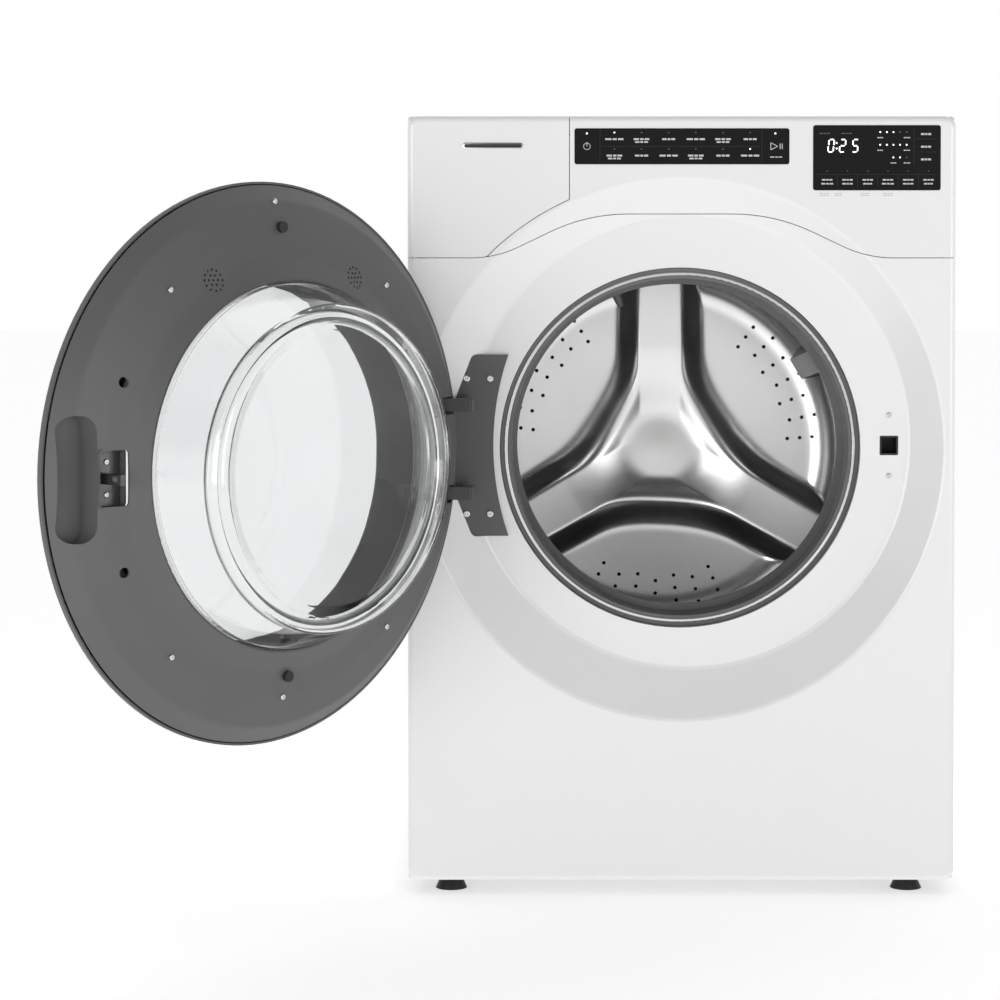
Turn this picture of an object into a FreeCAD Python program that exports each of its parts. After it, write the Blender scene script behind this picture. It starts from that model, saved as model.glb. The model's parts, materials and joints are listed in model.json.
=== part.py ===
"""Front load washing machine, a free-standing laundry appliance with its door open.

Frame: millimetres, origin on the floor under the middle of the cabinet, +X to the right
of someone facing it, +Y to the back, +Z up. The front face looks along -Y.
Every shape is placed with X, a depth behind the front face, and a height.
"""
import FreeCAD, Part
import math
import os

# Cabinet
cabinet_width = 686.0
cabinet_depth = 720.0
cabinet_height = 960.0
floor_gap = 21.0
sheet = 1.2
front_sheet = 2.0
front_skirt = 16.0
seam = 0.9
corner_radius = 14.0
front_edge_radius = 7.0
porthole_height = 563.5

# Dished recess round the porthole
recess_half_width = 330.0
recess_half_height = 340.0
recess_depth = 35.0
crease_radius = 288.0
crease_shift_x = 10.0
crease_shift_z = 8.0
porthole_radius = 228.0

# Console and drawer, as heights above the middle of the porthole
console_split = 240.0
console_arch = 295.0
console_arch_half_width = 118.0
console_arch_foot = 232.0
arch_foot_bend = 140.0
arch_bend = 230.0
drawer_edge_x = -140.0
touch_panel_size = (268.0, 44.6)
touch_panel_middle = (0.0, 379.8)
display_size = (159.0, 81.0)
display_middle = (243.5, 365.5)
panel_glass = 3.0
tray_width = 148.0
tray_height = 96.0
tray_top = 390.0
tray_depth = 250.0
drawer_travel = 210.0

# Door, drawn shut and then turned open
door_radius = 329.0
door_face_depth = 18.0
door_lift = 3.0
hinge_x = -302.0
hinge_depth = -16.5
door_open_angle = 132.0
trim_wall = 2.5
bowl_base_radius = 209.0
bowl_nose_radius = 181.0
bowl_reach = 97.0
bowl_wall = 5.0
window_radius = 214.0
hinge_arm_height = 55.0
hinge_pin_radius = 3.0
shaft_clearance = 0.05

# Drum and tub, about one axis that falls towards the back
axis_tilt = 5.0
tilt_depth = 120.0
drum_radius = 272.0
drum_mouth_radius = 206.0
drum_front = 136.0
drum_back = 610.0
drum_sheet = 1.2
baffle_height = 46.0
tub_radius = 302.0
tub_wall = 4.0
tub_neck_radius = 222.0
tub_front_depth = 126.0
tub_joint_depth = 380.0
tub_back_depth = 642.0
shaft_radius = 17.5
bearing_radius = 35.0
pulley_radius = 150.0
motor_pulley_radius = 15.0
pulley_depth = 682.0
belt_width = 14.0
belt_thickness = 3.0
motor_x = -100.0
motor_drop = 375.0
motor_radius = 60.0

# Running gear
foot_x = 290.0
foot_front_depth = 60.0
foot_back_depth = 660.0
foot_stud_radius = 5.0
foot_pad_radius = 20.0
base_plate_height = 40.0
damper_x = 170.0
damper_depth = 300.0
damper_rod_radius = 8.0
spring_x = 255.0
spring_depth = 330.0
spring_coil_radius = 11.0
spring_wire_radius = 1.8
inlet_radius = 13.2
drain_radius = 12.0
running_gap = 0.4

front_y = -cabinet_depth / 2
top_z = floor_gap + cabinet_height
half_width = cabinet_width / 2
across = FreeCAD.Vector(1, 0, 0)
inward = FreeCAD.Vector(0, 1, 0)
up = FreeCAD.Vector(0, 0, 1)


# ---------------------------------------------------------------- drawing helpers

def at(x, depth, z):
    """Point from X, a depth behind the front face, and a height above the floor."""
    return FreeCAD.Vector(x, front_y + depth, z)


def on_front(x, z, depth):
    """Point from X and a height above the middle of the porthole."""
    return at(x, depth, porthole_height + z)


def box(x0, x1, depth0, depth1, z0, z1):
    return Part.makeBox(x1 - x0, depth1 - depth0, z1 - z0, at(x0, depth0, z0))


def rod(radius, start, end):
    return Part.makeCylinder(radius, (end - start).Length, start, end - start)


def pipe(outer, inner, start, end):
    return rod(outer, start, end).cut(rod(inner, start, end))


def fused(shapes):
    """One solid from touching shapes."""
    return shapes[0].multiFuse(shapes[1:]).removeSplitter()


def mirrored(shape):
    """The same shape on the other side of the cabinet's middle."""
    return shape.mirror(FreeCAD.Vector(0, 0, 0), across)


def path_edges(points, to_space, closed=False):
    """Straight edges through (a, b, rounding) points, with an arc at each rounded one."""
    flat = [FreeCAD.Vector(a, b, 0) for a, b, rounding in points]
    ends = []
    arcs = []
    count = len(points)
    for i, corner in enumerate(flat):
        rounding = points[i][2]
        if rounding <= 0 or (not closed and i in (0, count - 1)):
            ends.append((corner, corner))
            arcs.append(None)
            continue
        back = (flat[i - 1] - corner).normalize()
        on = (flat[(i + 1) % count] - corner).normalize()
        half = back.getAngle(on) / 2
        reach = rounding / math.tan(half)
        middle = corner + (back + on).normalize() * (rounding / math.sin(half) - rounding)
        ends.append((corner + back * reach, corner + on * reach))
        arcs.append(middle)
    edges = []
    for i in range(count):
        if arcs[i] is not None:
            three = [to_space(p.x, p.y) for p in (ends[i][0], arcs[i], ends[i][1])]
            edges.append(Part.Arc(*three).toShape())
        if i < count - 1 or closed:
            start = ends[i][1]
            end = ends[(i + 1) % count][0]
            if (end - start).Length > 1e-6:
                edges.append(Part.makeLine(to_space(start.x, start.y), to_space(end.x, end.y)))
    return edges


def moved_path(path, distance):
    """An open path moved to its left by a distance, with its roundings kept parallel."""
    moved = []
    for i, (a, b, rounding) in enumerate(path):
        sides = []
        if i > 0:
            sides.append((a - path[i - 1][0], b - path[i - 1][1]))
        if i < len(path) - 1:
            sides.append((path[i + 1][0] - a, path[i + 1][1] - b))
        units = [(x / math.hypot(x, y), y / math.hypot(x, y)) for x, y in sides]
        normals = [(-y, x) for x, y in units]
        if len(normals) == 1:
            normals = normals * 2
        together = 1 + normals[0][0] * normals[1][0] + normals[0][1] * normals[1][1]
        turn = 0
        if len(units) == 2:
            turn = units[0][0] * units[1][1] - units[0][1] * units[1][0]
        new_rounding = 0
        if rounding > 0:
            new_rounding = max(rounding - math.copysign(distance, turn * distance), 0)
        shift_a = (normals[0][0] + normals[1][0]) / together * distance
        shift_b = (normals[0][1] + normals[1][1]) / together * distance
        moved.append((a + shift_a, b + shift_b, new_rounding))
    return moved


def band_face(path, wall, to_space):
    """Flat section of one wall thickness, with the path as its right-hand side."""
    outline = list(path) + moved_path(path, wall)[::-1]
    return Part.Face(Part.Wire(path_edges(outline, to_space, closed=True)))


def turned(section):
    """Revolve a section drawn with (radius, depth) about the porthole's axis."""
    return section.revolve(on_front(0, 0, 0), inward, 360)


def turned_band(path, wall):
    return turned(band_face(path, wall, lambda r, depth: on_front(r, 0, depth)))


def turned_outline(points):
    edges = path_edges(points, lambda r, depth: on_front(r, 0, depth), closed=True)
    return turned(Part.Face(Part.Wire(edges)))


def front_prism(points, depth0, depth1):
    """Closed (x, height, rounding) outline on the front, extruded between two depths."""
    edges = path_edges(points, lambda x, z: on_front(x, z, depth0), closed=True)
    return Part.Face(Part.Wire(edges)).extrude(inward * (depth1 - depth0))


def rounded_block(x0, x1, z0, z1, depth0, depth1, rounding):
    """Block with rounded corners, its heights measured from the porthole's middle."""
    corners = [(x0, z0, rounding), (x1, z0, rounding), (x1, z1, rounding), (x0, z1, rounding)]
    return front_prism(corners, depth0, depth1)


def screw(seat, axis, head_radius, length):
    """Pan head screw with a cross recess; the axis runs from the seat out of the head."""
    axis = FreeCAD.Vector(axis).normalize()
    head_height = head_radius * 0.55
    shank = rod(head_radius * 0.5, seat - axis * length, seat)
    head = rod(head_radius, seat, seat + axis * head_height)
    top = head.Edges[0]
    for edge in head.Edges:
        if edge.Curve.TypeId == "Part::GeomCircle" and (edge.Curve.Center - seat).dot(axis) > 0.1:
            top = edge
    head = head.makeFillet(head_height * 0.6, [top])
    side = axis.cross(up if abs(axis.z) < 0.9 else across).normalize()
    other = axis.cross(side)
    for along in (side, other):
        slot_start = seat + axis * head_height * 0.5 - along * head_radius * 0.55
        slot = Part.makeCylinder(head_radius * 0.14, head_radius * 1.1, slot_start, along)
        slot.translate(axis * head_height * 0.45)
        head = head.cut(slot)
    return fused([shank, head])


def bent_tube(points, outer, inner, bend):
    """Tube whose middle line runs through the points with an arc at each corner."""
    edges = []
    start = points[0]
    for i in range(1, len(points) - 1):
        back = (points[i - 1] - points[i]).normalize()
        on = (points[i + 1] - points[i]).normalize()
        half = back.getAngle(on) / 2
        reach = bend / math.tan(half)
        middle = points[i] + (back + on).normalize() * (bend / math.sin(half) - bend)
        arc_start = points[i] + back * reach
        arc_end = points[i] + on * reach
        edges.append(Part.makeLine(start, arc_start))
        edges.append(Part.Arc(arc_start, middle, arc_end).toShape())
        start = arc_end
    edges.append(Part.makeLine(start, points[-1]))
    spine = Part.Wire(edges)
    solids = []
    for radius in (outer, inner):
        circle = Part.Wire(Part.makeCircle(radius, points[0], points[1] - points[0]))
        solids.append(spine.makePipeShell([circle], True, True))
    return solids[0].cut(solids[1])


def tilted(shape):
    """A shape drawn about the level axis, turned onto the drum's falling axis."""
    return shape.rotated(on_front(0, 0, tilt_depth), across, -axis_tilt)


def opened(shape):
    """A door piece drawn shut, swung to the open rest pose."""
    return shape.rotated(at(hinge_x, hinge_depth, 0), up, -door_open_angle)


def on_door(u, z, offset):
    """Point on the shut door: across from its middle, up, and towards the drum."""
    return on_front(u, z + door_lift, door_face_depth + offset)


def door_turned(path, wall):
    """Revolved wall of the door, from (radius, offset towards the drum, rounding)."""
    shape = turned_band([(r, offset + door_face_depth, k) for r, offset, k in path], wall)
    shape.translate(up * door_lift)
    return shape


# ---------------------------------------------------------------- front of the cabinet

hinge_plate_outline = [(-217.0, 118.0, 0), (-262.0, 118.0, 8), (-284.5, 60.0, 14),
                       (-284.5, -55.0, 14), (-262.0, -111.0, 8), (-217.0, -111.0, 0)]
hinge_plate_waist = (-236.0, 3.5)
hinge_plate_thickness = 5.0
hinge_screw_places = [(x, z) for x in (-269.5, -240.0) for z in (88.0, -83.0)]
lock_x = 264.0
lock_z = 3.0
lock_slot = (23.4, 24.6)
lock_screw_places = [(lock_x, lock_z + side * 38.5) for side in (1, -1)]


def hinge_plate_prism(grow, depth0, depth1):
    """Prism on the hinge plate's outline, made larger all round by a margin."""
    def place(x, z):
        return on_front(x, z, depth0)
    edges = path_edges(hinge_plate_outline, place)
    last = hinge_plate_outline[-1]
    first = hinge_plate_outline[0]
    ends = [place(*last[:2]), place(*hinge_plate_waist), place(*first[:2])]
    edges.append(Part.Arc(*ends).toShape())
    wire = Part.Wire(Part.sortEdges(edges)[0])
    if grow:
        wire = wire.makeOffset2D(grow)
    return Part.Face(wire).extrude(inward * (depth1 - depth0))


def recess_solid(grow, start):
    """Space inside the dish round the porthole, larger by a margin, from a given depth on.

    The dish is turned, then narrowed and slanted so that its floor sits off centre.
    """
    path = [(recess_half_height + 2, 0, 0), (recess_half_height - 0.5, 0, 8),
            (crease_radius, recess_depth, 10), (0, recess_depth, 0)]
    if grow:
        path = moved_path(path, -grow)
    round_solid = turned_outline([(0, start, 0), (path[0][0], start, 0)] + path)
    slant_x = crease_shift_x / recess_depth
    slant_z = crease_shift_z / recess_depth
    form = FreeCAD.Matrix()
    form.A11 = recess_half_width / recess_half_height
    form.A12 = slant_x
    form.A14 = -slant_x * front_y
    form.A32 = slant_z
    form.A34 = -slant_z * front_y
    return round_solid.transformGeometry(form)


def front_shell():
    """Outer skin of the whole front, with the recess pressed into it, before it is split."""
    def block(inset, depth0, depth1):
        body = rounded_block(-half_width + inset, half_width - inset,
                             floor_gap - porthole_height + inset, top_z - porthole_height - inset,
                             depth0, depth1, corner_radius - inset)
        edges = [edge for edge in body.Edges
                 if abs(edge.BoundBox.YMax - front_y - depth0) < 0.01]
        return body.makeFillet(front_edge_radius - inset * 0.5, edges)
    hollow = recess_solid(0, -20.0)
    skin = block(0, 0, front_skirt).cut(block(front_sheet, front_sheet, front_skirt + 20))
    skin = skin.fuse(recess_solid(front_sheet, 0.5)).cut(hollow)
    seat = hinge_plate_prism(front_sheet + 0.6, 8.0, recess_depth + front_sheet)
    skin = skin.fuse(seat.cut(hollow)).cut(hinge_plate_prism(0.6, -4.0, recess_depth))
    hole = rod(porthole_radius, on_front(0, 0, -20), on_front(0, 0, recess_depth + 40))
    rim_depth = recess_depth + 14
    lip = turned_outline([(porthole_radius, recess_depth, 0),
                          (porthole_radius + front_sheet, recess_depth, 0),
                          (porthole_radius + front_sheet, rim_depth, 0), (porthole_radius, rim_depth, 0)])
    return skin.cut(hole).fuse(lip)


def split_line(gap):
    """Upper edge of the front panel, or with a gap the lower edge of what is above it."""
    z_low = console_split + gap
    z_high = console_arch + gap
    return [(-half_width - 20, z_low, 0), (-console_arch_foot, z_low, arch_foot_bend),
            (-console_arch_half_width, z_high, arch_bend), (console_arch_half_width, z_high, arch_bend),
            (console_arch_foot, z_low, arch_foot_bend), (half_width + 20, z_low, 0)]


def front_panel(skin):
    below = split_line(0) + [(half_width + 20, -700.0, 0), (-half_width - 20, -700.0, 0)]
    panel = skin.common(front_prism(below, -10, 90))
    width, height = lock_slot
    slot = rounded_block(lock_x - width / 2, lock_x + width / 2, lock_z - height / 2,
                         lock_z + height / 2, 20, 60, 1.5)
    holes = [rod(2.3, on_front(x, z, 20), on_front(x, z, 60))
             for x, z in hinge_screw_places + lock_screw_places]
    return panel.cut([slot] + holes)


def upper_front(skin):
    above = split_line(seam) + [(half_width + 20, 500.0, 0), (-half_width - 20, 500.0, 0)]
    return skin.common(front_prism(above, -10, 90))


def drawer_region(gap):
    """Space in front of the drawer: left of its seam and clear of the recess, less a gap."""
    block = box(-half_width - 20, drawer_edge_x - gap, -10, 90, porthole_height, top_z + 10)
    rim = turned_outline([(0, -20, 0), (recess_half_height + 3 + gap, -20, 0),
                          (recess_half_height + 3 + gap, 100, 0), (0, 100, 0)])
    return block.cut(rim)


def panel_block(size, middle, grow, depth0, depth1):
    width, height = size
    x, z = middle
    return rounded_block(x - width / 2 - grow, x + width / 2 + grow, z - height / 2 - grow,
                         z + height / 2 + grow, depth0, depth1, 3.0 + grow)


def console_fascia(skin):
    fascia = upper_front(skin).cut(drawer_region(0))
    for size, middle in ((touch_panel_size, touch_panel_middle), (display_size, display_middle)):
        frame = panel_block(size, middle, 4.0, front_sheet, front_sheet + 4)
        fascia = fascia.fuse(frame).cut(panel_block(size, middle, 0.3, -2, front_sheet + 1))
    return fascia.removeSplitter()


def glass_panel(size, middle):
    return panel_block(size, middle, 0, front_sheet + 1 - panel_glass - 0.5, front_sheet + 0.9)


def control_box():
    body = box(-130, 320, 8, 68, porthole_height + 347, porthole_height + 393)
    return body.cut(box(-127, 317, 11, 65, porthole_height + 350, porthole_height + 390))


# ---------------------------------------------------------------- drawer

tray_right = drawer_edge_x - 42.0
tray_left = tray_right - tray_width
tray_floor = porthole_height + tray_top - tray_height


def drawer_front(skin):
    return upper_front(skin).common(drawer_region(seam))


def drawer_tray():
    start = front_sheet
    body = box(tray_left, tray_right, start, start + tray_depth, tray_floor, tray_floor + tray_height)
    wall = 2.5
    third = (tray_width - 4 * wall) / 3
    cuts = []
    for i in range(3):
        left = tray_left + wall + i * (third + wall)
        cuts.append(box(left, left + third, start + 34, start + tray_depth - wall,
                        tray_floor + wall, tray_floor + tray_height + 1))
    cuts.append(box(tray_left + wall, tray_right - wall, start + wall, start + 34 - wall,
                    tray_floor - 1, tray_floor + tray_height - wall))
    return body.cut(cuts)


def dispenser_housing():
    gap = 2.5
    wall = 2.5
    x0 = tray_left - gap
    x1 = tray_right + gap
    z0 = tray_floor - gap
    z1 = tray_floor + tray_height + gap
    depth0 = recess_depth + 10
    depth1 = front_sheet + tray_depth + 10
    sleeve = box(x0 - wall, x1 + wall, depth0, depth1 + wall, z0 - wall, z1 + wall)
    return sleeve.cut(box(x0, x1, depth0 - 1, depth1, z0, z1))


# ---------------------------------------------------------------- hinge and lock

hinge_reach = 38.0
hinge_arm_width = 10.0
hinge_arm_thickness = 16.0
hinge_eye_radius = 8.0


def hinge_plate():
    """Plate with two goosenecks that pass round the door's edge to the hinge pins."""
    face_depth = recess_depth - hinge_plate_thickness
    pieces = [hinge_plate_prism(0, face_depth, recess_depth)]
    half = hinge_arm_width / 2
    pin_holes = []
    for z in (hinge_arm_height, -hinge_arm_height):
        low = porthole_height + door_lift + z - hinge_arm_thickness / 2

        def place(x, depth):
            return at(hinge_x + x, hinge_depth + depth, low)

        def polar(radius, angle):
            a = math.radians(angle)
            return (radius * math.cos(a), radius * math.sin(a))
        stop = -20.0
        start = 45.0
        inner = hinge_reach - half
        outer = hinge_reach + half
        arc_in = Part.Arc(place(*polar(inner, start)), place(*polar(inner, 12)),
                          place(*polar(inner, stop))).toShape()
        arc_out = Part.Arc(place(*polar(outer, start)), place(*polar(outer, 12)),
                           place(*polar(outer, stop))).toShape()
        ends = [Part.makeLine(place(*polar(inner, angle)), place(*polar(outer, angle)))
                for angle in (start, stop)]
        bow = Part.Face(Part.Wire(Part.sortEdges([arc_in, arc_out] + ends)[0]))
        bow = bow.extrude(up * hinge_arm_thickness)
        finger = Part.makeBox(outer - 1, hinge_arm_width, hinge_arm_thickness,
                              FreeCAD.Vector(0, -half, 0))
        finger.rotate(FreeCAD.Vector(0, 0, 0), up, stop)
        finger.translate(place(0, 0))
        eye = Part.makeCylinder(hinge_eye_radius, hinge_arm_thickness, place(0, 0), up)
        foot_x0, foot_depth0 = polar(inner, start)
        foot_x1, foot_depth1 = polar(outer, start)
        root = Part.makePolygon([place(foot_x0, foot_depth0), place(foot_x1, foot_depth1),
                                 place(foot_x1 + 6, face_depth - hinge_depth + 1),
                                 place(foot_x0 - 2, face_depth - hinge_depth + 1),
                                 place(foot_x0, foot_depth0)])
        root = Part.Face(root).extrude(up * hinge_arm_thickness)
        pieces += [bow, finger, eye, root]
        pin_holes.append(Part.makeCylinder(hinge_pin_radius + shaft_clearance,
                                           hinge_arm_thickness + 4, place(0, 0) - up * 2, up))
    plate = fused(pieces).cut(pin_holes)
    holes = [rod(2.3, on_front(x, z, 20), on_front(x, z, 60)) for x, z in hinge_screw_places]
    return plate.cut(holes)


def hinge_pins():
    pins = []
    length = hinge_arm_thickness + 12
    for z in (hinge_arm_height, -hinge_arm_height):
        low = at(hinge_x, hinge_depth, porthole_height + door_lift + z - length / 2)
        pins.append(Part.makeCylinder(hinge_pin_radius, length, low, up))
    return opened(Part.makeCompound(pins))


def hinge_brackets():
    """Forks inside the door that carry the hinge pins above and below each gooseneck."""
    forks = []
    ear = 4.0
    for z in (hinge_arm_height, -hinge_arm_height):
        middle = porthole_height + door_lift + z
        reach = hinge_arm_thickness / 2 + 1.0
        pieces = [box(hinge_x + 50, hinge_x + 54, hinge_depth - 12, hinge_depth + 12,
                      middle - reach - ear, middle + reach + ear)]
        for low in (middle - reach - ear, middle + reach):
            pieces.append(box(hinge_x, hinge_x + 52, hinge_depth - 9, hinge_depth + 9, low, low + ear))
            pieces.append(Part.makeCylinder(9, ear, at(hinge_x, hinge_depth, low), up))
        fork = fused(pieces)
        bore = Part.makeCylinder(hinge_pin_radius, 60, at(hinge_x, hinge_depth, middle - 30), up)
        forks.append(fork.cut(bore))
    return opened(Part.makeCompound(forks))


def front_screws():
    """Screws of the hinge plate and of the lock, seen on the floor of the recess."""
    plate_face = recess_depth - hinge_plate_thickness
    screws = [screw(on_front(x, z, plate_face), -inward, 4.4, 16) for x, z in hinge_screw_places]
    screws += [screw(on_front(x, z, recess_depth), -inward, 3.4, 12) for x, z in lock_screw_places]
    return screws


def door_lock():
    depth0 = recess_depth + front_sheet
    width, height = lock_slot
    shell = box(lock_x - 20, lock_x + 26, depth0, depth0 + 42,
                porthole_height + lock_z - 50, porthole_height + lock_z + 50)
    bezel = rounded_block(lock_x - width / 2 + 0.3, lock_x + width / 2 - 0.3, lock_z - height / 2 + 0.3,
                          lock_z + height / 2 - 0.3, recess_depth - 0.4, depth0 + 1, 1.2)
    pocket = box(lock_x - width / 2 + 2.3, lock_x + width / 2 - 2.3, recess_depth - 5, depth0 + 30,
                 porthole_height + lock_z - height / 2 + 2.3, porthole_height + lock_z + height / 2 - 2.3)
    holes = [rod(1.7, on_front(x, z, recess_depth), on_front(x, z, recess_depth + 20))
             for x, z in lock_screw_places]
    return fused([shell, bezel]).cut([pocket] + holes)


# ---------------------------------------------------------------- door

handle_pocket = (274.0, 315.0, 70.0, 30.0)
latch_pocket = (238.0, 272.0, 31.0, 9.0)
trim_screw_places = [(171, 206), (-171, 206), (171, -206), (-171, -206), (0, 306), (0, -271)]
bumper_places = [(0, 276), (0, -246)]
plug_places = [(u, z) for u in (240, -240) for z in (105, -105)]
grille_places = [(112, 216), (-112, 216)]
strike_screw_places = [(258, 18), (258, -18)]
trim_path = [(325.0, -30.0, 0), (306.0, -12.0, 14), (270.0, 0.0, 60), (240.0, 8.0, 40),
             (213.6, 21.4, 3), (212.6, 13.4, 0)]


def trim_offset(u, z):
    """Offset of the trim's face at a point, between the corners of its section."""
    radius = math.hypot(u, z)
    corners = trim_path[:5]
    for (r0, offset0, k0), (r1, offset1, k1) in zip(corners, corners[1:]):
        if r1 <= radius <= r0:
            return offset0 + (offset1 - offset0) * (r0 - radius) / (r0 - r1)
    return corners[0][1]


def door_block(u0, u1, half_z, offset0, offset1, rounding, middle_z=0.0):
    """Block on the shut door with rounded corners."""
    return rounded_block(u0, u1, middle_z + door_lift - half_z, middle_z + door_lift + half_z,
                         door_face_depth + offset0, door_face_depth + offset1, rounding)


def door_rod(radius, u, z, offset0, offset1):
    return rod(radius, on_door(u, z, offset0), on_door(u, z, offset1))


def door_inner_trim():
    """Grey trim ring with its handle pocket, latch seat, vents and hinge slots."""
    ring = door_turned(trim_path, trim_wall)
    u0, u1, half, depth = handle_pocket
    wall = trim_wall
    liner = door_block(u0 - wall, u1 + wall, half + wall, -depth - wall, -4, 18 + wall)
    envelope = door_turned([(325.0, -31.0, 0), (306.0, -13.0, 14), (270.0, -1.0, 0)], 45.0)
    ring = ring.fuse(liner.common(envelope)).cut(door_block(u0, u1, half, -depth, 30, 18))
    u0, u1, half, depth = latch_pocket
    seat = door_block(u0 - wall, u1 + wall, half + wall, -depth - wall, 0, 4 + wall)
    ring = ring.fuse(seat).cut(door_block(u0, u1, half, -depth, 30, 4))
    slots = [door_block(hinge_x - 13, hinge_x + 50, hinge_arm_thickness / 2 + 3, -40, 30, 4, z)
             for z in (hinge_arm_height, -hinge_arm_height)]
    vents = []
    for u, z in grille_places:
        for ring_radius, count in ((0, 1), (6, 6), (12, 12)):
            for i in range(count):
                a = 2 * math.pi * i / count
                vents.append(door_rod(1.5, u + ring_radius * math.cos(a), z + ring_radius * math.sin(a),
                                      -20, 30))
    holes = [door_rod(6.0, u, z, -20, 30) for u, z in plug_places]
    holes += [door_rod(1.9, u, z, -60, 30) for u, z in trim_screw_places]
    holes += [door_rod(1.9, u, z, -60, 30) for u, z in strike_screw_places]
    holes += [door_rod(4.0, u, z, -60, 30) for u, z in bumper_places]
    return opened(ring.cut(slots + vents + holes))


def door_outer_shell():
    """Domed outer ring of the door; its middle is left open for the window."""
    path = [(window_radius - 6, -54.0, 0), (window_radius + 2, -54.0, 0), (window_radius + 2, -61.0, 2),
            (285.0, -55.0, 40), (316.0, -48.0, 14), (door_radius, -39.0, 6), (door_radius, -31.5, 0)]
    return opened(door_turned(path, trim_wall))


def door_window():
    edge_offset = -60.5
    crown_offset = -78.0
    thickness = 3.5

    def place(r, offset):
        return on_door(r, 0, offset)

    edges = []
    for offset in (0, thickness):
        start = place(0, crown_offset + offset)
        middle = place(window_radius * 0.5, crown_offset + offset + (edge_offset - crown_offset) * 0.25)
        end = place(window_radius, edge_offset + offset)
        edges.append(Part.Arc(start, middle, end).toShape())
    edges.append(Part.makeLine(place(0, crown_offset), place(0, crown_offset + thickness)))
    rim = [place(window_radius, edge_offset + step) for step in (0, thickness)]
    edges.append(Part.makeLine(*rim))
    face = Part.Face(Part.Wire(Part.sortEdges(edges)[0]))
    return opened(face.revolve(on_door(0, 0, 0), inward, 360))


def door_glass_bowl():
    path = [(224.0, 4.0, 0), (206.0, 9.0, 4), (bowl_base_radius - 1.5, 22.0, 3),
            (bowl_nose_radius, bowl_reach, 11), (bowl_nose_radius - 22, bowl_reach - 8, 18),
            (70.0, bowl_reach - 23, 60), (0.0, bowl_reach - 23, 0)]
    return opened(door_turned(path, -bowl_wall))


def door_strike():
    """Steel plate and hook that the lock grips."""
    u0, u1, half, depth = latch_pocket
    plate = door_block(u0 + 1, u1 - 1, half - 1, -depth, -depth + 2, 3)
    hook = door_block(259, 266, 6, -depth + 1, 27, 0.8).cut(door_block(250, 270, 3, 13, 21, 0.8))
    holes = [door_rod(1.9, u, z, -20, 10) for u, z in strike_screw_places]
    return opened(fused([plate, hook]).cut(holes))


def door_screws():
    out = inward
    screws = [screw(on_door(u, z, trim_offset(u, z) + 0.4), out, 3.6, 12) for u, z in trim_screw_places]
    depth = latch_pocket[3]
    screws += [screw(on_door(u, z, -depth + 2), out, 3.4, 9) for u, z in strike_screw_places]
    return opened(Part.makeCompound(screws))


def door_bumpers():
    bumpers = []
    for u, z in bumper_places:
        face = trim_offset(u, z)
        stem = door_rod(3.9, u, z, face - 8, face)
        head = door_rod(6.5, u, z, face + 0.6, face + 6)
        neck = door_rod(3.9, u, z, face - 1, face + 1)
        bumpers.append(fused([stem, neck, head]))
    return opened(Part.makeCompound(bumpers))


# ---------------------------------------------------------------- gasket

gasket_wall = 3.5
gasket_face_depth = recess_depth + 10.0
gasket_mouth_radius = 214.0
gasket_fold_radius = 231.0
gasket_lip_radius = drum_mouth_radius
# Corners behind the face as (radius, depth, share of the drum's tilt).
gasket_folds = [(gasket_mouth_radius, gasket_face_depth, 0.0), (gasket_mouth_radius - 2, 78.0, 0.0),
                (gasket_fold_radius, 84.0, 0.4), (gasket_fold_radius, 97.0, 0.6),
                (gasket_lip_radius, 103.0, 1.0), (gasket_lip_radius, 121.0, 1.0)]


def ruled_solid(sections):
    """Solid ruled through circles given as (radius, depth, share of the drum's tilt)."""
    circles = []
    for radius, depth, share in sections:
        wire = Part.Wire(Part.makeCircle(radius, on_front(0, 0, depth), inward))
        circles.append(wire.rotated(on_front(0, 0, tilt_depth), across, -axis_tilt * share))
    return Part.makeLoft(circles, True, True)


def gasket_bellows():
    """Rubber bellows from the rim of the porthole to the mouth of the drum."""
    path = [(r, depth, 0) for r, depth, share in gasket_folds]
    outer = [(r, min(depth, gasket_folds[-1][1]), fold[2])
             for (r, depth, rounding), fold in zip(moved_path(path, -gasket_wall), gasket_folds)]
    sleeve = ruled_solid(outer).cut(ruled_solid(gasket_folds))
    rim = porthole_radius - 0.5
    face = gasket_face_depth
    collar = turned_outline([(gasket_mouth_radius, face, 1.5), (rim, face, 1), (rim, face + 5, 0),
                             (rim - gasket_wall, face + 5, 0), (rim - gasket_wall, face + gasket_wall, 0),
                             (gasket_mouth_radius, face + gasket_wall, 0)])
    return collar.fuse(sleeve)


def gasket_band():
    """Sprung steel band that clamps the gasket in its groove."""
    face = gasket_face_depth
    inner = gasket_mouth_radius + 4
    outer = inner + 4
    return turned_outline([(inner, face - 2, 0.8), (outer, face - 2, 0.8), (outer, face, 0), (inner, face, 0)])


def gasket_nozzle():
    """Spray nozzle that hangs from the lip of the gasket at the upper left."""
    angle = math.radians(112.0)
    radius = gasket_lip_radius + 1.5
    base = on_front(radius * math.cos(angle), radius * math.sin(angle), gasket_folds[-1][1] + 6)
    towards = FreeCAD.Vector(-math.cos(angle), 0, -math.sin(angle))
    body = Part.makeCone(5.6, 4.6, 12, base, towards)
    return tilted(fused([body, rod(3.6, base + towards * 11, base + towards * 17)]))


# ---------------------------------------------------------------- tub

def tub_point(x, depth, z):
    """Point on the tilted frame of the tub, turned into the row frame."""
    vertex = Part.Vertex(on_front(x, z, depth))
    return tilted(vertex).Point


def tub_flange(depth):
    """Bolting flange round one half of the tub."""
    inner = tub_radius + 1
    outer = tub_radius + 16
    return turned_outline([(inner, depth, 0), (outer, depth, 0), (outer, depth + 10, 0), (inner, depth + 10, 0)])


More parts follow.
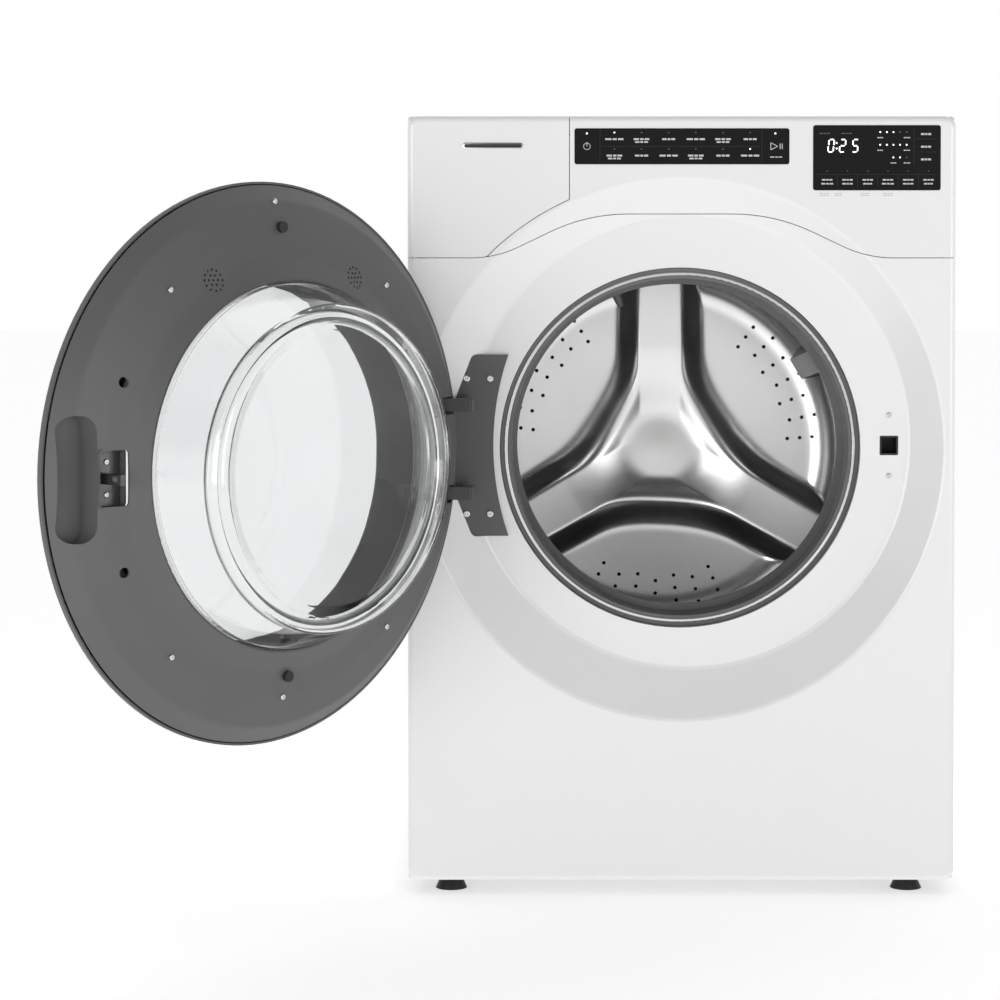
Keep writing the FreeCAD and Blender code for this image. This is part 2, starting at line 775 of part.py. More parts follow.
def tub_front():
    path = [(tub_neck_radius, tub_front_depth - 14, 0), (tub_neck_radius, tub_front_depth, 4),
            (tub_radius, tub_front_depth + 4, 22), (tub_radius, tub_joint_depth - 0.5, 0)]
    shell = turned_band(path, -tub_wall)
    flange = tub_flange(tub_joint_depth - 10.5)
    lugs = []
    for side in (1, -1):
        x = side * damper_x
        drop = math.sqrt(tub_radius ** 2 - damper_x ** 2)
        lugs.append(Part.makeBox(36, 44, 34, on_front(x - 18, -drop - 22, damper_depth - 22)))
        x = side * spring_x
        rise = math.sqrt(tub_radius ** 2 - spring_x ** 2)
        lugs.append(Part.makeBox(24, 30, 34, on_front(x - 12, rise - 12, spring_depth - 15)))
    hollow = rod(tub_radius, on_front(0, 0, tub_front_depth + 4), on_front(0, 0, tub_joint_depth))
    bosses = fused([lug.cut(hollow) for lug in lugs] + [shell.fuse(flange)])
    holes = [rod(3.1, start, end) for start, end in tub_bolt_lines()]
    return tilted(bosses.cut(holes + sump_bores()))


def tub_bolt_lines():
    """Start and end of each bolt that joins the two halves of the tub."""
    lines = []
    for i in range(tub_bolt_count):
        angle = 2 * math.pi * (i + 0.5) / tub_bolt_count
        x = (tub_radius + 10) * math.cos(angle)
        z = (tub_radius + 10) * math.sin(angle)
        lines.append((on_front(x, z, tub_joint_depth - 11), on_front(x, z, tub_joint_depth + 11)))
    return lines


tub_bolt_count = 12
sump_x = 60.0
sump_depth = 180.0
sump_radius = 18.0


def sump_bores():
    return [rod(sump_radius, on_front(sump_x, -tub_radius - 30, sump_depth),
                on_front(sump_x, -tub_radius + 30, sump_depth))]


def tub_rear():
    path = [(tub_radius, tub_joint_depth + 0.5, 0), (tub_radius, tub_back_depth, 10),
            (bearing_radius + 12, tub_back_depth, 0)]
    shell = turned_band(path, -tub_wall)
    flange = tub_flange(tub_joint_depth + 0.5)
    front = tub_back_depth - 1
    back = tub_back_depth + 34
    hub = turned_outline([(bearing_radius, front, 0), (bearing_radius + 18, front, 0),
                          (bearing_radius + 14, back, 0), (bearing_radius, back, 0)])
    ribs = []
    for i in range(8):
        rib = box(bearing_radius + 12, tub_radius - 24, tub_back_depth, tub_back_depth + 16,
                  porthole_height - 2, porthole_height + 2)
        ribs.append(rib.rotated(on_front(0, 0, 0), inward, 22.5 + i * 45))
    mount = Part.makeBox(60, 90, 40, on_front(motor_x - 30, -tub_radius - 16, tub_back_depth - 110))
    hollow = rod(tub_radius, on_front(0, 0, tub_joint_depth), on_front(0, 0, tub_back_depth - 2))
    body = fused([shell, flange, hub, mount.cut(hollow)] + ribs)
    seat = [on_front(motor_x, -motor_drop, depth) for depth in (400, 800)]
    body = body.cut(rod(motor_radius + 0.02, *seat))
    return tilted(body.cut([rod(3.1, start, end) for start, end in tub_bolt_lines()]))


def tub_bolts():
    bolts = []
    for start, end in tub_bolt_lines():
        axis = (end - start).normalize()
        shank = rod(3.0, start - axis * 1, end + axis * 3)
        bolts.append(fused([shank, rod(6.0, start - axis * 5, start + axis * 0.4)]))
    return tilted(Part.makeCompound(bolts))


def counterweight(low_angle, high_angle):
    """Concrete block that is a sector of a ring round the tub's mouth."""
    depth0 = recess_depth + 37.0
    depth1 = tub_front_depth - 6.0
    corners = [(tub_neck_radius + 24, depth0, 4), (tub_radius - 4, depth0, 4),
               (tub_radius - 4, depth1, 0), (tub_neck_radius + 24, depth1, 0)]
    edges = path_edges(corners, lambda r, depth: on_front(r, 0, depth), closed=True)
    face = Part.Face(Part.Wire(edges)).rotated(on_front(0, 0, 0), inward, -low_angle)
    return tilted(face.revolve(on_front(0, 0, 0), inward, low_angle - high_angle))


def drum_bearings():
    rings = []
    for start, width in ((tub_back_depth + 4, 14), (tub_back_depth + 20, 12)):
        rings.append(turned_outline([(shaft_radius + shaft_clearance, start, 1),
                                     (bearing_radius, start, 1), (bearing_radius, start + width, 1),
                                     (shaft_radius + shaft_clearance, start + width, 1)]))
    return tilted(Part.makeCompound(rings))


def shaft_seal():
    start = tub_back_depth - 3
    return tilted(turned_outline([(shaft_radius + running_gap, start, 1), (bearing_radius, start, 1),
                                  (bearing_radius, start + 6, 1), (shaft_radius + running_gap, start + 6, 1)]))


def damper_rods():
    drop = math.sqrt(tub_radius ** 2 - damper_x ** 2)
    rods = []
    for side in (1, -1):
        lug = tub_point(side * damper_x, damper_depth, -drop - 22)
        depth = lug.y - front_y
        rods.append(rod(damper_rod_radius, at(lug.x, depth, damper_rod_foot), at(lug.x, depth, lug.z + 8)))
    return Part.makeCompound(rods)


damper_rod_foot = 130.0
damper_cylinder_top = 200.0


def damper_cylinders():
    shapes = []
    for side in (1, -1):
        drop = math.sqrt(tub_radius ** 2 - damper_x ** 2) + 22
        lug = tub_point(side * damper_x, damper_depth, -drop)
        depth = lug.y - front_y
        low = base_plate_height + sheet
        body = rod(14, at(lug.x, depth, low + 10), at(lug.x, depth, damper_cylinder_top))
        bore = rod(damper_rod_radius + running_gap, at(lug.x, depth, low + 24),
                   at(lug.x, depth, damper_cylinder_top + 1))
        foot = box(lug.x - 20, lug.x + 20, depth - 12, depth + 12, low, low + 11)
        shapes.append(fused([body, foot]).cut(bore))
    return Part.makeCompound(shapes)


def suspension_springs():
    rise = math.sqrt(tub_radius ** 2 - spring_x ** 2)
    lug = tub_point(spring_x, spring_depth, rise + 22)
    depth = lug.y - front_y
    length = suspension_bracket_height - lug.z
    coil_height = length - 36
    helix = Part.makeHelix(coil_height / 16, coil_height, spring_coil_radius)
    start = FreeCAD.Vector(spring_coil_radius, 0, 0)
    circle = Part.Wire(Part.makeCircle(spring_wire_radius, start, inward))
    coil = Part.Wire(helix).makePipeShell([circle], True, True)
    coil.translate(at(spring_x, depth, lug.z + 18))
    pieces = [coil]
    for z0, z1 in ((lug.z + 1, lug.z + 18), (suspension_bracket_height - 18, suspension_bracket_height)):
        pieces.append(rod(2.4, at(spring_x, depth, z0), at(spring_x, depth, z1)))
    for z in (lug.z + 17, suspension_bracket_height - 20):
        pieces.append(rod(spring_coil_radius + 3, at(spring_x, depth, z), at(spring_x, depth, z + 3)))
    spring = fused(pieces)
    return Part.makeCompound([spring, mirrored(spring)])


suspension_bracket_height = porthole_height + 358.0


def heater():
    """Bent heating rod in the bottom of the tub, with its flange on the rear wall."""
    z = porthole_height - drum_radius - 14
    rear = tub_back_depth - tub_wall
    points = [at(side * 30, depth, z) for side, depth in ((-1, rear), (-1, 330), (1, 330), (1, rear))]
    rod_shape = bent_tube(points, 3.8, 1.5, 24)
    flange = box(-44, 44, rear - 3, rear, z - 9, z + 12)
    return tilted(fused([rod_shape, flange]))


# ---------------------------------------------------------------- drive

def belt_outline(grow):
    """Belt line round both pulleys, as a face in the pulleys' plane."""
    gap = running_gap
    big = pulley_radius + gap + grow
    small = motor_pulley_radius + gap + grow
    far = FreeCAD.Vector(motor_x, 0, -motor_drop)
    spread = far.Length
    lean = math.acos((big - small) / spread)
    base_angle = math.atan2(far.z, far.x)
    corners = []
    for side in (1, -1):
        angle = base_angle + side * lean
        ray = FreeCAD.Vector(math.cos(angle), 0, math.sin(angle))
        corners.append((ray * big, far + ray * small))
    centre = on_front(0, 0, pulley_depth)
    (p0, p1), (p2, p3) = corners
    loop = [centre + p for p in (p0, p1, p3, p2, p0)]
    tangent = Part.Face(Part.makePolygon(loop)).extrude(inward * belt_width)
    discs = [rod(big, centre, centre + inward * belt_width),
             rod(small, centre + far, centre + far + inward * belt_width)]
    return fused([tangent] + discs)


def drive_belt():
    return tilted(belt_outline(belt_thickness).cut(belt_outline(0)))


def drum_pulley():
    start = pulley_depth - 2
    end = pulley_depth + belt_width + 2
    rim = turned_outline([(pulley_radius - 8, start, 0), (pulley_radius + 3, start, 0),
                          (pulley_radius + 3, start + 1.6, 0), (pulley_radius, start + 1.6, 0),
                          (pulley_radius, end - 1.6, 0), (pulley_radius + 3, end - 1.6, 0),
                          (pulley_radius + 3, end, 0), (pulley_radius - 8, end, 0)])
    web = turned_outline([(shaft_radius, start + 2, 0), (34, start + 2, 0), (34, start + 7, 0),
                          (pulley_radius - 7, start + 7, 0), (pulley_radius - 7, start + 12, 0),
                          (shaft_radius, start + 12, 0)])
    windows = []
    for i in range(6):
        a = math.pi / 3 * i
        x = 88 * math.cos(a)
        z = 88 * math.sin(a)
        windows.append(rod(28, on_front(x, z, start - 5), on_front(x, z, end + 5)))
    return tilted(fused([rim, web]).cut(windows))


def motor_housing():
    centre = on_front(motor_x, -motor_drop, 0)
    start = tub_back_depth - 120
    end = pulley_depth - 8
    body = rod(motor_radius, centre + inward * start, centre + inward * (end - 12))
    nose = rod(motor_radius - 18, centre + inward * (end - 13), centre + inward * end)
    bore = rod(8, centre + inward * (start + 6), centre + inward * (end + 1))
    stack = rod(motor_radius - 8, centre + inward * (start + 8), centre + inward * (end - 20))
    return tilted(fused([body, nose]).cut([bore, stack]))


def motor_rotor():
    """Rotor, shaft and small pulley of the motor."""
    centre = on_front(motor_x, -motor_drop, 0)
    start = tub_back_depth - 112
    shaft = rod(6, centre + inward * (start + 2), centre + inward * (pulley_depth + belt_width + 4))
    core = rod(motor_radius - 12, centre + inward * (start + 6), centre + inward * (pulley_depth - 34))
    pulley = rod(motor_pulley_radius, centre + inward * (pulley_depth - 1),
                 centre + inward * (pulley_depth + belt_width + 1))
    return tilted(fused([shaft, core, pulley]))


# ---------------------------------------------------------------- drum

def drum_shell():
    """Steel cylinder with a rolled front lip round its mouth."""
    path = [(drum_mouth_radius + 6, drum_front + 8, 0), (drum_mouth_radius, drum_front, 3),
            (drum_mouth_radius + 22, drum_front, 6), (drum_radius, drum_front + 10, 16),
            (drum_radius, drum_back, 0)]
    return tilted(turned_band(path, -drum_sheet))


drum_hub_radius = 62.0
spoke_width = 62.0
spoke_height = 26.0
spoke_angles = (90, 210, 330)
baffle_angles = (30, 150, 270)


def spoke_forms(inset):
    """Raised hub and spokes of the drum's back, smaller by a margin."""
    low = drum_back - spoke_height + inset
    forms = [Part.makeCone(drum_hub_radius + 18 - inset, drum_hub_radius - inset,
                           spoke_height + 20 - inset, on_front(0, 0, drum_back + 20), -inward)]
    for angle in spoke_angles:
        bar = box(0, drum_radius - 22 - inset, low, drum_back + 20,
                  porthole_height - spoke_width / 2 + inset, porthole_height + spoke_width / 2 - inset)
        forms.append(bar.rotated(on_front(0, 0, 0), inward, -angle))
    return fused(forms)


def drum_end():
    """Pressed steel back of the drum, its three spokes raised towards the mouth."""
    back = drum_back + drum_sheet
    plate = rod(drum_radius - drum_sheet * 0.02, on_front(0, 0, drum_back), on_front(0, 0, back))
    front_half = box(-400, 400, 0, back, 0, 1200)
    outer = spoke_forms(0).common(front_half)
    inner = spoke_forms(drum_sheet * 1.5)
    return tilted(fused([plate, outer]).cut(inner))


def drum_baffles():
    shapes = []
    base = drum_radius - 3
    for angle in baffle_angles:
        outlines = []
        ends = (drum_front + 30, drum_front + 60, drum_back - 70, drum_back - 36)
        for depth, lean in zip(ends, (0, 1, 1, 0)):
            height = baffle_height if lean else baffle_height * 0.45
            half_top = 10 + 6 * lean
            corners = [(base, -34), (base - height, -half_top), (base - height, half_top), (base, 34)]
            points = [on_front(a, b, depth) for a, b in corners + corners[:1]]
            outlines.append(Part.makePolygon(points))
        baffle = Part.makeLoft(outlines, True, True)
        shapes.append(baffle.rotated(on_front(0, 0, 0), inward, -angle))
    return tilted(Part.makeCompound(shapes))


def drum_spider():
    """Cast three-armed carrier behind the drum, in one with its shaft."""
    low = drum_back + drum_sheet + 0.6
    high = tub_back_depth - 7
    arms = [rod(46, on_front(0, 0, low), on_front(0, 0, high))]
    for angle in spoke_angles:
        arm = box(0, drum_radius - 12, low, high - 6, porthole_height - 20, porthole_height + 20)
        arms.append(arm.rotated(on_front(0, 0, 0), inward, -angle))
    shaft = rod(shaft_radius, on_front(0, 0, low), on_front(0, 0, pulley_depth + belt_width + 4))
    return tilted(fused(arms + [shaft]))


# ---------------------------------------------------------------- water

pump_x = 215.0
pump_depth = 100.0
pump_height = 100.0


def drain_pump():
    centre = at(pump_x, pump_depth, pump_height)
    volute = rod(38, centre - inward * 20, centre + inward * 20)
    motor = rod(28, centre + inward * 19, centre + inward * 90)
    outlet = rod(drain_radius, centre + up * 30, centre + up * 60)
    inlet = rod(16, centre - across * 60, centre - across * 30)
    foot = box(pump_x - 26, pump_x + 26, pump_depth - 16, pump_depth + 80,
               base_plate_height + sheet, pump_height - 30)
    body = fused([volute, motor, outlet, inlet, foot])
    cavity = rod(32, centre - inward * 16, centre + inward * 16)
    ways = [rod(drain_radius - 3, centre, centre + up * 61), rod(13, centre - across * 61, centre)]
    bore = rod(3 + shaft_clearance, centre, centre + inward * 70)
    return body.cut([cavity, bore] + ways)


def pump_impeller():
    centre = at(pump_x, pump_depth, pump_height)
    parts = [rod(9, centre - inward * 12, centre + inward * 13), rod(3, centre, centre + inward * 66)]
    for i in range(4):
        blade = box(pump_x, pump_x + 28, pump_depth - 11, pump_depth + 11,
                    pump_height - 1.2, pump_height + 1.2)
        parts.append(blade.rotated(centre, inward, i * 90))
    return fused(parts)


def sump_hose():
    start = tub_point(sump_x, sump_depth, -tub_radius - tub_wall - 0.5)
    depth = start.y - front_y
    points = [start, at(start.x, depth, pump_height), at(start.x, pump_depth, pump_height),
              at(pump_x - 60.2, pump_depth, pump_height)]
    return bent_tube(points, sump_radius, sump_radius - 3, 26)


drain_side_x = half_width - 25.0
drain_outlet_height = 880.0


def drain_hose():
    rear = cabinet_depth
    points = [at(pump_x, pump_depth, pump_height + 60.2), at(pump_x, pump_depth, pump_height + 110),
              at(drain_side_x, pump_depth, pump_height + 110), at(drain_side_x, rear - 32, pump_height + 110),
              at(drain_side_x, rear - 32, drain_outlet_height), at(drain_side_x, rear + 15, drain_outlet_height)]
    return bent_tube(points, drain_radius, drain_radius - 3, 22)


inlet_places = (-290.0, -225.0)
inlet_height = porthole_height + 340.0


fill_hose_radius = 10.0


def inlet_valves():
    valves = []
    for x in inlet_places:
        def behind(gap, rise=0):
            return at(x, cabinet_depth - gap, inlet_height + rise)

        body = box(x - 18, x + 18, cabinet_depth - 50, cabinet_depth - sheet - 3,
                   inlet_height - 20, inlet_height + 20)
        coil = rod(14, behind(34, 19), behind(34, 42))
        nipple = pipe(inlet_radius, 9, behind(sheet + 4), behind(-15))
        tail = rod(fill_hose_radius - 3.05, behind(66), behind(49))
        valves.append(fused([body, coil, nipple, tail]))
    return Part.makeCompound(valves)


def fill_hoses():
    """Hoses from the valves to the dispenser, straight along the top of the cabinet."""
    start = front_sheet + tray_depth + 12.5
    end = cabinet_depth - 50.2
    hoses = [pipe(fill_hose_radius, fill_hose_radius - 3, at(x, start, inlet_height), at(x, end, inlet_height))
             for x in inlet_places]
    return Part.makeCompound(hoses)


# ---------------------------------------------------------------- cabinet

def side_panel_right():
    """Side sheet with a return flange front and back, and the bracket of its spring."""
    x1 = half_width
    depth0 = front_skirt + 0.5
    depth1 = cabinet_depth - 3.0
    plate = box(x1 - sheet, x1, depth0, depth1, floor_gap, top_z - 22.5)
    front = box(x1 - 11, x1, depth0, depth0 + sheet, floor_gap, top_z - 22.5)
    back = box(x1 - 12, x1, depth1 - sheet, depth1, floor_gap, top_z - 22.5)
    low = suspension_bracket_height
    arm = box(spring_x - 20, x1, spring_depth - 18, spring_depth + 18, low, low + 3)
    web = box(x1 - 4, x1, spring_depth - 18, spring_depth + 18, low - 30, low + 3)
    return fused([plate, front, back, arm, web])


access_radius = 190.0
rear_screw_places = [(side * (half_width - 6), z) for side in (-1, 1) for z in (120.0, 520.0, 900.0)]
transit_spacing = (400.0, 300.0)
transit_radius = 8.0
cord_x = 120.0
cord_height = 900.0


access_height = porthole_height - 60.0


def rear_panel():
    depth0 = cabinet_depth - 3.0
    plate = box(-half_width, half_width, depth0, depth0 + sheet, floor_gap, top_z - 22.5)
    cuts = [rod(access_radius, at(0, depth0 - 5, access_height), at(0, depth0 + 5, access_height))]
    for x in inlet_places:
        cuts.append(rod(inlet_radius + 1, at(x, depth0 - 5, inlet_height), at(x, depth0 + 5, inlet_height)))
    cuts.append(rod(drain_radius + 1, at(drain_side_x, depth0 - 5, drain_outlet_height),
                    at(drain_side_x, depth0 + 5, drain_outlet_height)))
    cuts.append(rod(9.0, at(cord_x, depth0 - 5, cord_height), at(cord_x, depth0 + 5, cord_height)))
    for x in (-1, 1):
        for z in (-1, 1):
            centre = at(x * transit_spacing[0] / 2, depth0 - 5, access_height + z * transit_spacing[1] / 2)
            cuts.append(rod(transit_radius, centre, centre + inward * 10))
    cuts += [rod(2.2, at(x, depth0 - 5, z), at(x, depth0 + 5, z)) for x, z in rear_screw_places]
    return plate.cut(cuts)


cover_screw_angles = (45, 135, 225, 315)


def rear_cover():
    """Round cover over the access hole to the belt, with pressed rings."""
    depth0 = cabinet_depth - 3.0 + sheet
    centre_z = access_height
    cover = rod(access_radius + 12, at(0, depth0, centre_z), at(0, depth0 + sheet, centre_z))
    for radius in (60.0, 120.0):
        cover = cover.fuse(pipe(radius, radius - 8, at(0, depth0, centre_z), at(0, depth0 + 1.8, centre_z)))
    cuts = []
    for angle in cover_screw_angles:
        x = (access_radius + 6) * math.cos(math.radians(angle))
        z = centre_z + (access_radius + 6) * math.sin(math.radians(angle))
        cuts.append(rod(2.2, at(x, depth0 - 5, z), at(x, depth0 + 5, z)))
    return cover.removeSplitter().cut(cuts)


def rear_screws():
    seat = cabinet_depth - 3.0 + sheet
    screws = [screw(at(x, seat, z), inward, 4.4, 10) for x, z in rear_screw_places]
    for angle in cover_screw_angles:
        x = (access_radius + 6) * math.cos(math.radians(angle))
        z = porthole_height - 60 + (access_radius + 6) * math.sin(math.radians(angle))
        screws.append(screw(at(x, seat + sheet, z), inward, 4.4, 10))
    return screws


def cord_gland():
    """Strain relief bush for a supply cord in the rear panel."""
    depth0 = cabinet_depth - 3.0
    barrel = rod(8.9, at(cord_x, depth0 - 8, cord_height), at(cord_x, depth0 + 4, cord_height))
    collar = rod(13, at(cord_x, depth0 + sheet, cord_height), at(cord_x, depth0 + 8, cord_height))
    return fused([barrel, collar]).cut(rod(4.5, at(cord_x, depth0 - 20, cord_height),
                                           at(cord_x, depth0 + 20, cord_height)))


def top_panel():
    """Lid of the cabinet, a shallow tray turned upside down with rounded corners."""
    low = top_z - 22.0
    depth0 = front_skirt + 0.5

    def tray(inset, z1):
        corners = [(-half_width + inset, depth0 + inset, 3), (half_width - inset, depth0 + inset, 3),
                   (half_width - inset, cabinet_depth - inset, 12),
                   (-half_width + inset, cabinet_depth - inset, 12)]
        edges = path_edges(corners, lambda x, depth: at(x, depth, low - 1), closed=True)
        return Part.Face(Part.Wire(edges)).extrude(up * (z1 - low + 1))
    body = tray(0, top_z)
    rims = [edge for edge in body.Edges if edge.BoundBox.ZMin > top_z - 0.01
            and edge.BoundBox.YMax > front_y + depth0 + 1]
    body = body.makeFillet(4.0, rims)
    hollow = tray(front_sheet, top_z - front_sheet)
    below = box(-half_width - 10, half_width + 10, -10, cabinet_depth + 10, low - 5, low)
    return body.cut([hollow, below])


def foot_places():
    return [(x, depth) for depth in (foot_front_depth, foot_back_depth) for x in (-foot_x, foot_x)]


def base_frame():
    """Floor of the cabinet with its skirt and the threaded seats of the feet."""
    z = base_plate_height
    x1 = half_width - sheet - 0.3
    depth0 = front_skirt + 3
    depth1 = cabinet_depth - 5
    plate = box(-x1, x1, depth0, depth1, z, z + sheet)
    skirts = [box(-x1, -x1 + sheet, depth0, depth1, floor_gap + 1, z + 20),
              box(x1 - sheet, x1, depth0, depth1, floor_gap + 1, z + 20),
              box(-x1, x1, depth0, depth0 + sheet, floor_gap + 1, z + 20),
              box(-x1, x1, depth1 - sheet, depth1, floor_gap + 1, z + 20)]
    seats = [rod(15, at(x, depth, z), at(x, depth, z + 14)) for x, depth in foot_places()]
    holes = [rod(foot_stud_radius + shaft_clearance, at(x, depth, 0), at(x, depth, 90))
             for x, depth in foot_places()]
    return fused([plate] + skirts + seats).cut(holes)


def foot(x, depth):
    """Levelling foot: a rubber-faced pad on a threaded stud."""
    pad = Part.makeCone(foot_pad_radius, foot_pad_radius - 5, 11, at(x, depth, 0), up)
    return fused([pad, rod(foot_stud_radius, at(x, depth, 10), at(x, depth, base_plate_height + 34))])


def foot_locknuts():
    nuts = []
    for x, depth in foot_places():
        z = base_plate_height - 8.2
        corners = [at(x + 9.8 * math.cos(math.pi / 3 * i), depth + 9.8 * math.sin(math.pi / 3 * i), z)
                   for i in range(7)]
        nut = Part.Face(Part.makePolygon(corners)).extrude(up * 8)
        nuts.append(nut.cut(rod(foot_stud_radius + shaft_clearance, at(x, depth, 0), at(x, depth, 90))))
    return Part.makeCompound(nuts)


# ---------------------------------------------------------------- build

def build():
    skin = front_shell()
    front_left, front_right, back_left, back_right = [foot(x, depth) for x, depth in foot_places()]
    return {
        "front_panel": front_panel(skin),
        "console_fascia": console_fascia(skin),
        "touch_panel": glass_panel(touch_panel_size, touch_panel_middle),
        "display_panel": glass_panel(display_size, display_middle),
        "control_box": control_box(),
        "drawer_front": drawer_front(skin),
        "drawer_tray": drawer_tray(),
        "dispenser_housing": dispenser_housing(),
        "hinge_plate": hinge_plate(),
        "hinge_pins": hinge_pins(),
        "hinge_brackets": hinge_brackets(),
        "cabinet_screws": Part.makeCompound(front_screws() + rear_screws()),
        "door_lock": door_lock(),
        "door_inner_trim": door_inner_trim(),
        "door_outer_shell": door_outer_shell(),
        "door_window": door_window(),
        "door_glass_bowl": door_glass_bowl(),
        "door_strike": door_strike(),
        "door_screws": door_screws(),
        "door_bumpers": door_bumpers(),
        "gasket_bellows": gasket_bellows(),
        "gasket_band": gasket_band(),
        "gasket_nozzle": gasket_nozzle(),
        "tub_front": tub_front(),
        "tub_rear": tub_rear(),
        "tub_bolts": tub_bolts(),
        "counterweight_upper": counterweight(20, 160),
        "counterweight_lower": counterweight(200, 340),
        "drum_bearings": drum_bearings(),
        "shaft_seal": shaft_seal(),
        "damper_rods": damper_rods(),
        "damper_cylinders": damper_cylinders(),
        "suspension_springs": suspension_springs(),
        "heater": heater(),
        "drive_belt": drive_belt(),
        "drum_pulley": drum_pulley(),
        "motor_housing": motor_housing(),
        "motor_rotor": motor_rotor(),
        "drum_shell": drum_shell(),
        "drum_end": drum_end(),
        "drum_baffles": drum_baffles(),
        "drum_spider": drum_spider(),
        "drain_pump": drain_pump(),
        "pump_impeller": pump_impeller(),
        "sump_hose": sump_hose(),
        "drain_hose": drain_hose(),
        "inlet_valves": inlet_valves(),
        "fill_hoses": fill_hoses(),
        "side_panel_left": mirrored(side_panel_right()),
        "side_panel_right": side_panel_right(),
        "rear_panel": rear_panel(),
        "rear_cover": rear_cover(),
        "cord_gland": cord_gland(),
        "top_panel": top_panel(),
        "base_frame": base_frame(),
        "foot_front_left": front_left,
        "foot_front_right": front_right,
        "foot_back_left": back_left,
        "foot_back_right": back_right,
        "foot_locknuts": foot_locknuts(),
    }


os.makedirs("parts", exist_ok=True)
for name, shape in build().items():
    solids = len(shape.Solids)
    print(f"{name}: {solids} solid(s), {shape.Volume / 1000:.0f} cm3, valid {shape.isValid()}")
    shape.exportStep(f"parts/{name}.step")
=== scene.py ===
import json
import math

import bpy
from mathutils import Matrix, Vector


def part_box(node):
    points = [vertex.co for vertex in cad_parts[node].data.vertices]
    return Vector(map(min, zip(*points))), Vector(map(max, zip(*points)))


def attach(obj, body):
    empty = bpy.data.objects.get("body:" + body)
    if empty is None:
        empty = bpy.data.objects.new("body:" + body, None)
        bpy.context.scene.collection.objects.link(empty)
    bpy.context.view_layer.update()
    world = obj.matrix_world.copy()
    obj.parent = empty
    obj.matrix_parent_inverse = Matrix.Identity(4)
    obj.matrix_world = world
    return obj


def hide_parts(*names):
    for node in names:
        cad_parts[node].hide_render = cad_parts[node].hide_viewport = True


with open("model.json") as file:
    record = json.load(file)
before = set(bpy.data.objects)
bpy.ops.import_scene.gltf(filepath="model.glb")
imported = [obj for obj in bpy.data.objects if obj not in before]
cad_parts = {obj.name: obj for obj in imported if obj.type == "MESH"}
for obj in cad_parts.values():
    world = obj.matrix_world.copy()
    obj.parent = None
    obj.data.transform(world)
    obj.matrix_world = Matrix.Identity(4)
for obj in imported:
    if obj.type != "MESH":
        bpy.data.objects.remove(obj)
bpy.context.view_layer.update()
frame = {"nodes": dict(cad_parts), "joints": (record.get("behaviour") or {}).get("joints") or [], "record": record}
nodes = frame["nodes"]
joints = {joint["name"]: joint for joint in frame["joints"]}


# ---------------------------------------------------------------- places on the machine, in metres

MM = 0.001
front_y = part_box("front_panel")[0].y
drum_pivot = Vector(joints["drum_spin"]["pos_m"])
drum_axis = Vector(joints["drum_spin"]["axis"])


# ---------------------------------------------------------------- shader expressions

class Wire:
    """A socket that adds Math nodes when it is used in an expression."""

    def __init__(self, finish, socket):
        self.finish = finish
        self.socket = socket

    def __add__(self, other):
        return self.finish.math("ADD", self, other)

    def __mul__(self, other):
        return self.finish.math("MULTIPLY", self, other)

    __radd__ = __add__
    __rmul__ = __mul__


class Finish:
    """A procedural material: a Principled shader whose colour, roughness and bump come from expressions."""

    def __init__(self, name, **constants):
        self.material = bpy.data.materials.new(name)
        self.material.use_nodes = True
        self.tree = self.material.node_tree
        self.tree.nodes.clear()
        self.place = self.node("ShaderNodeTexCoord", output="Object")
        self.shader = self.tree.nodes.new("ShaderNodeBsdfPrincipled")
        for socket, value in constants.items():
            self.shader.inputs[self.label(socket)].default_value = value
        end = self.tree.nodes.new("ShaderNodeOutputMaterial")
        self.tree.links.new(self.shader.outputs[0], end.inputs[0])

    @staticmethod
    def label(socket):
        """A keyword such as coat_weight as the shader's own label, Coat Weight."""
        return socket.replace("_", " ").title().replace("Ior", "IOR")

    def node(self, kind, settings=None, sockets=None, output=0):
        """Any node: its settings first, then the values or wires of its sockets."""
        made = self.tree.nodes.new(kind)
        for key, value in (settings or {}).items():
            if key == "stops":
                ramp = made.color_ramp.elements
                while len(ramp) < len(value):
                    ramp.new(0.5)
                for stop, (position, shade) in zip(ramp, value):
                    stop.position = position
                    stop.color = (shade, shade, shade, 1)
            else:
                setattr(made, key, value)
        for key, value in (sockets or {}).items():
            if isinstance(value, Wire):
                self.tree.links.new(value.socket, made.inputs[key])
            else:
                made.inputs[key].default_value = value
        return Wire(self, made.outputs[output])

    def math(self, operation, *values):
        return self.node("ShaderNodeMath", {"operation": operation}, dict(enumerate(values)))

    def noise(self, scale, detail=3.0, roughness=0.5, stretch=(1, 1, 1)):
        place = self.node("ShaderNodeVectorMath", {"operation": "MULTIPLY"}, {0: self.place, 1: stretch})
        return self.node("ShaderNodeTexNoise", None,
                         {"Vector": place, "Scale": scale, "Detail": detail, "Roughness": roughness})

    def steps(self, value, *stops):
        return self.node("ShaderNodeValToRGB", {"stops": stops}, {"Fac": value})

    def blend(self, factor, first, second):
        return self.node("ShaderNodeMix", {"data_type": "RGBA"}, {0: factor, 6: first, 7: second}, 2)

    def feed(self, **wires):
        for socket, wire in wires.items():
            self.tree.links.new(wire.socket, self.shader.inputs[self.label(socket)])

    def bump(self, height, distance, strength=1.0):
        self.feed(normal=self.node("ShaderNodeBump", None,
                                   {"Height": height, "Distance": distance, "Strength": strength}))


def grey(level, warmth=0.0):
    """A grey colour, a little warmer or cooler than neutral."""
    return (level * (1 + warmth), level, level * (1 - warmth), 1)


# ---------------------------------------------------------------- finishes

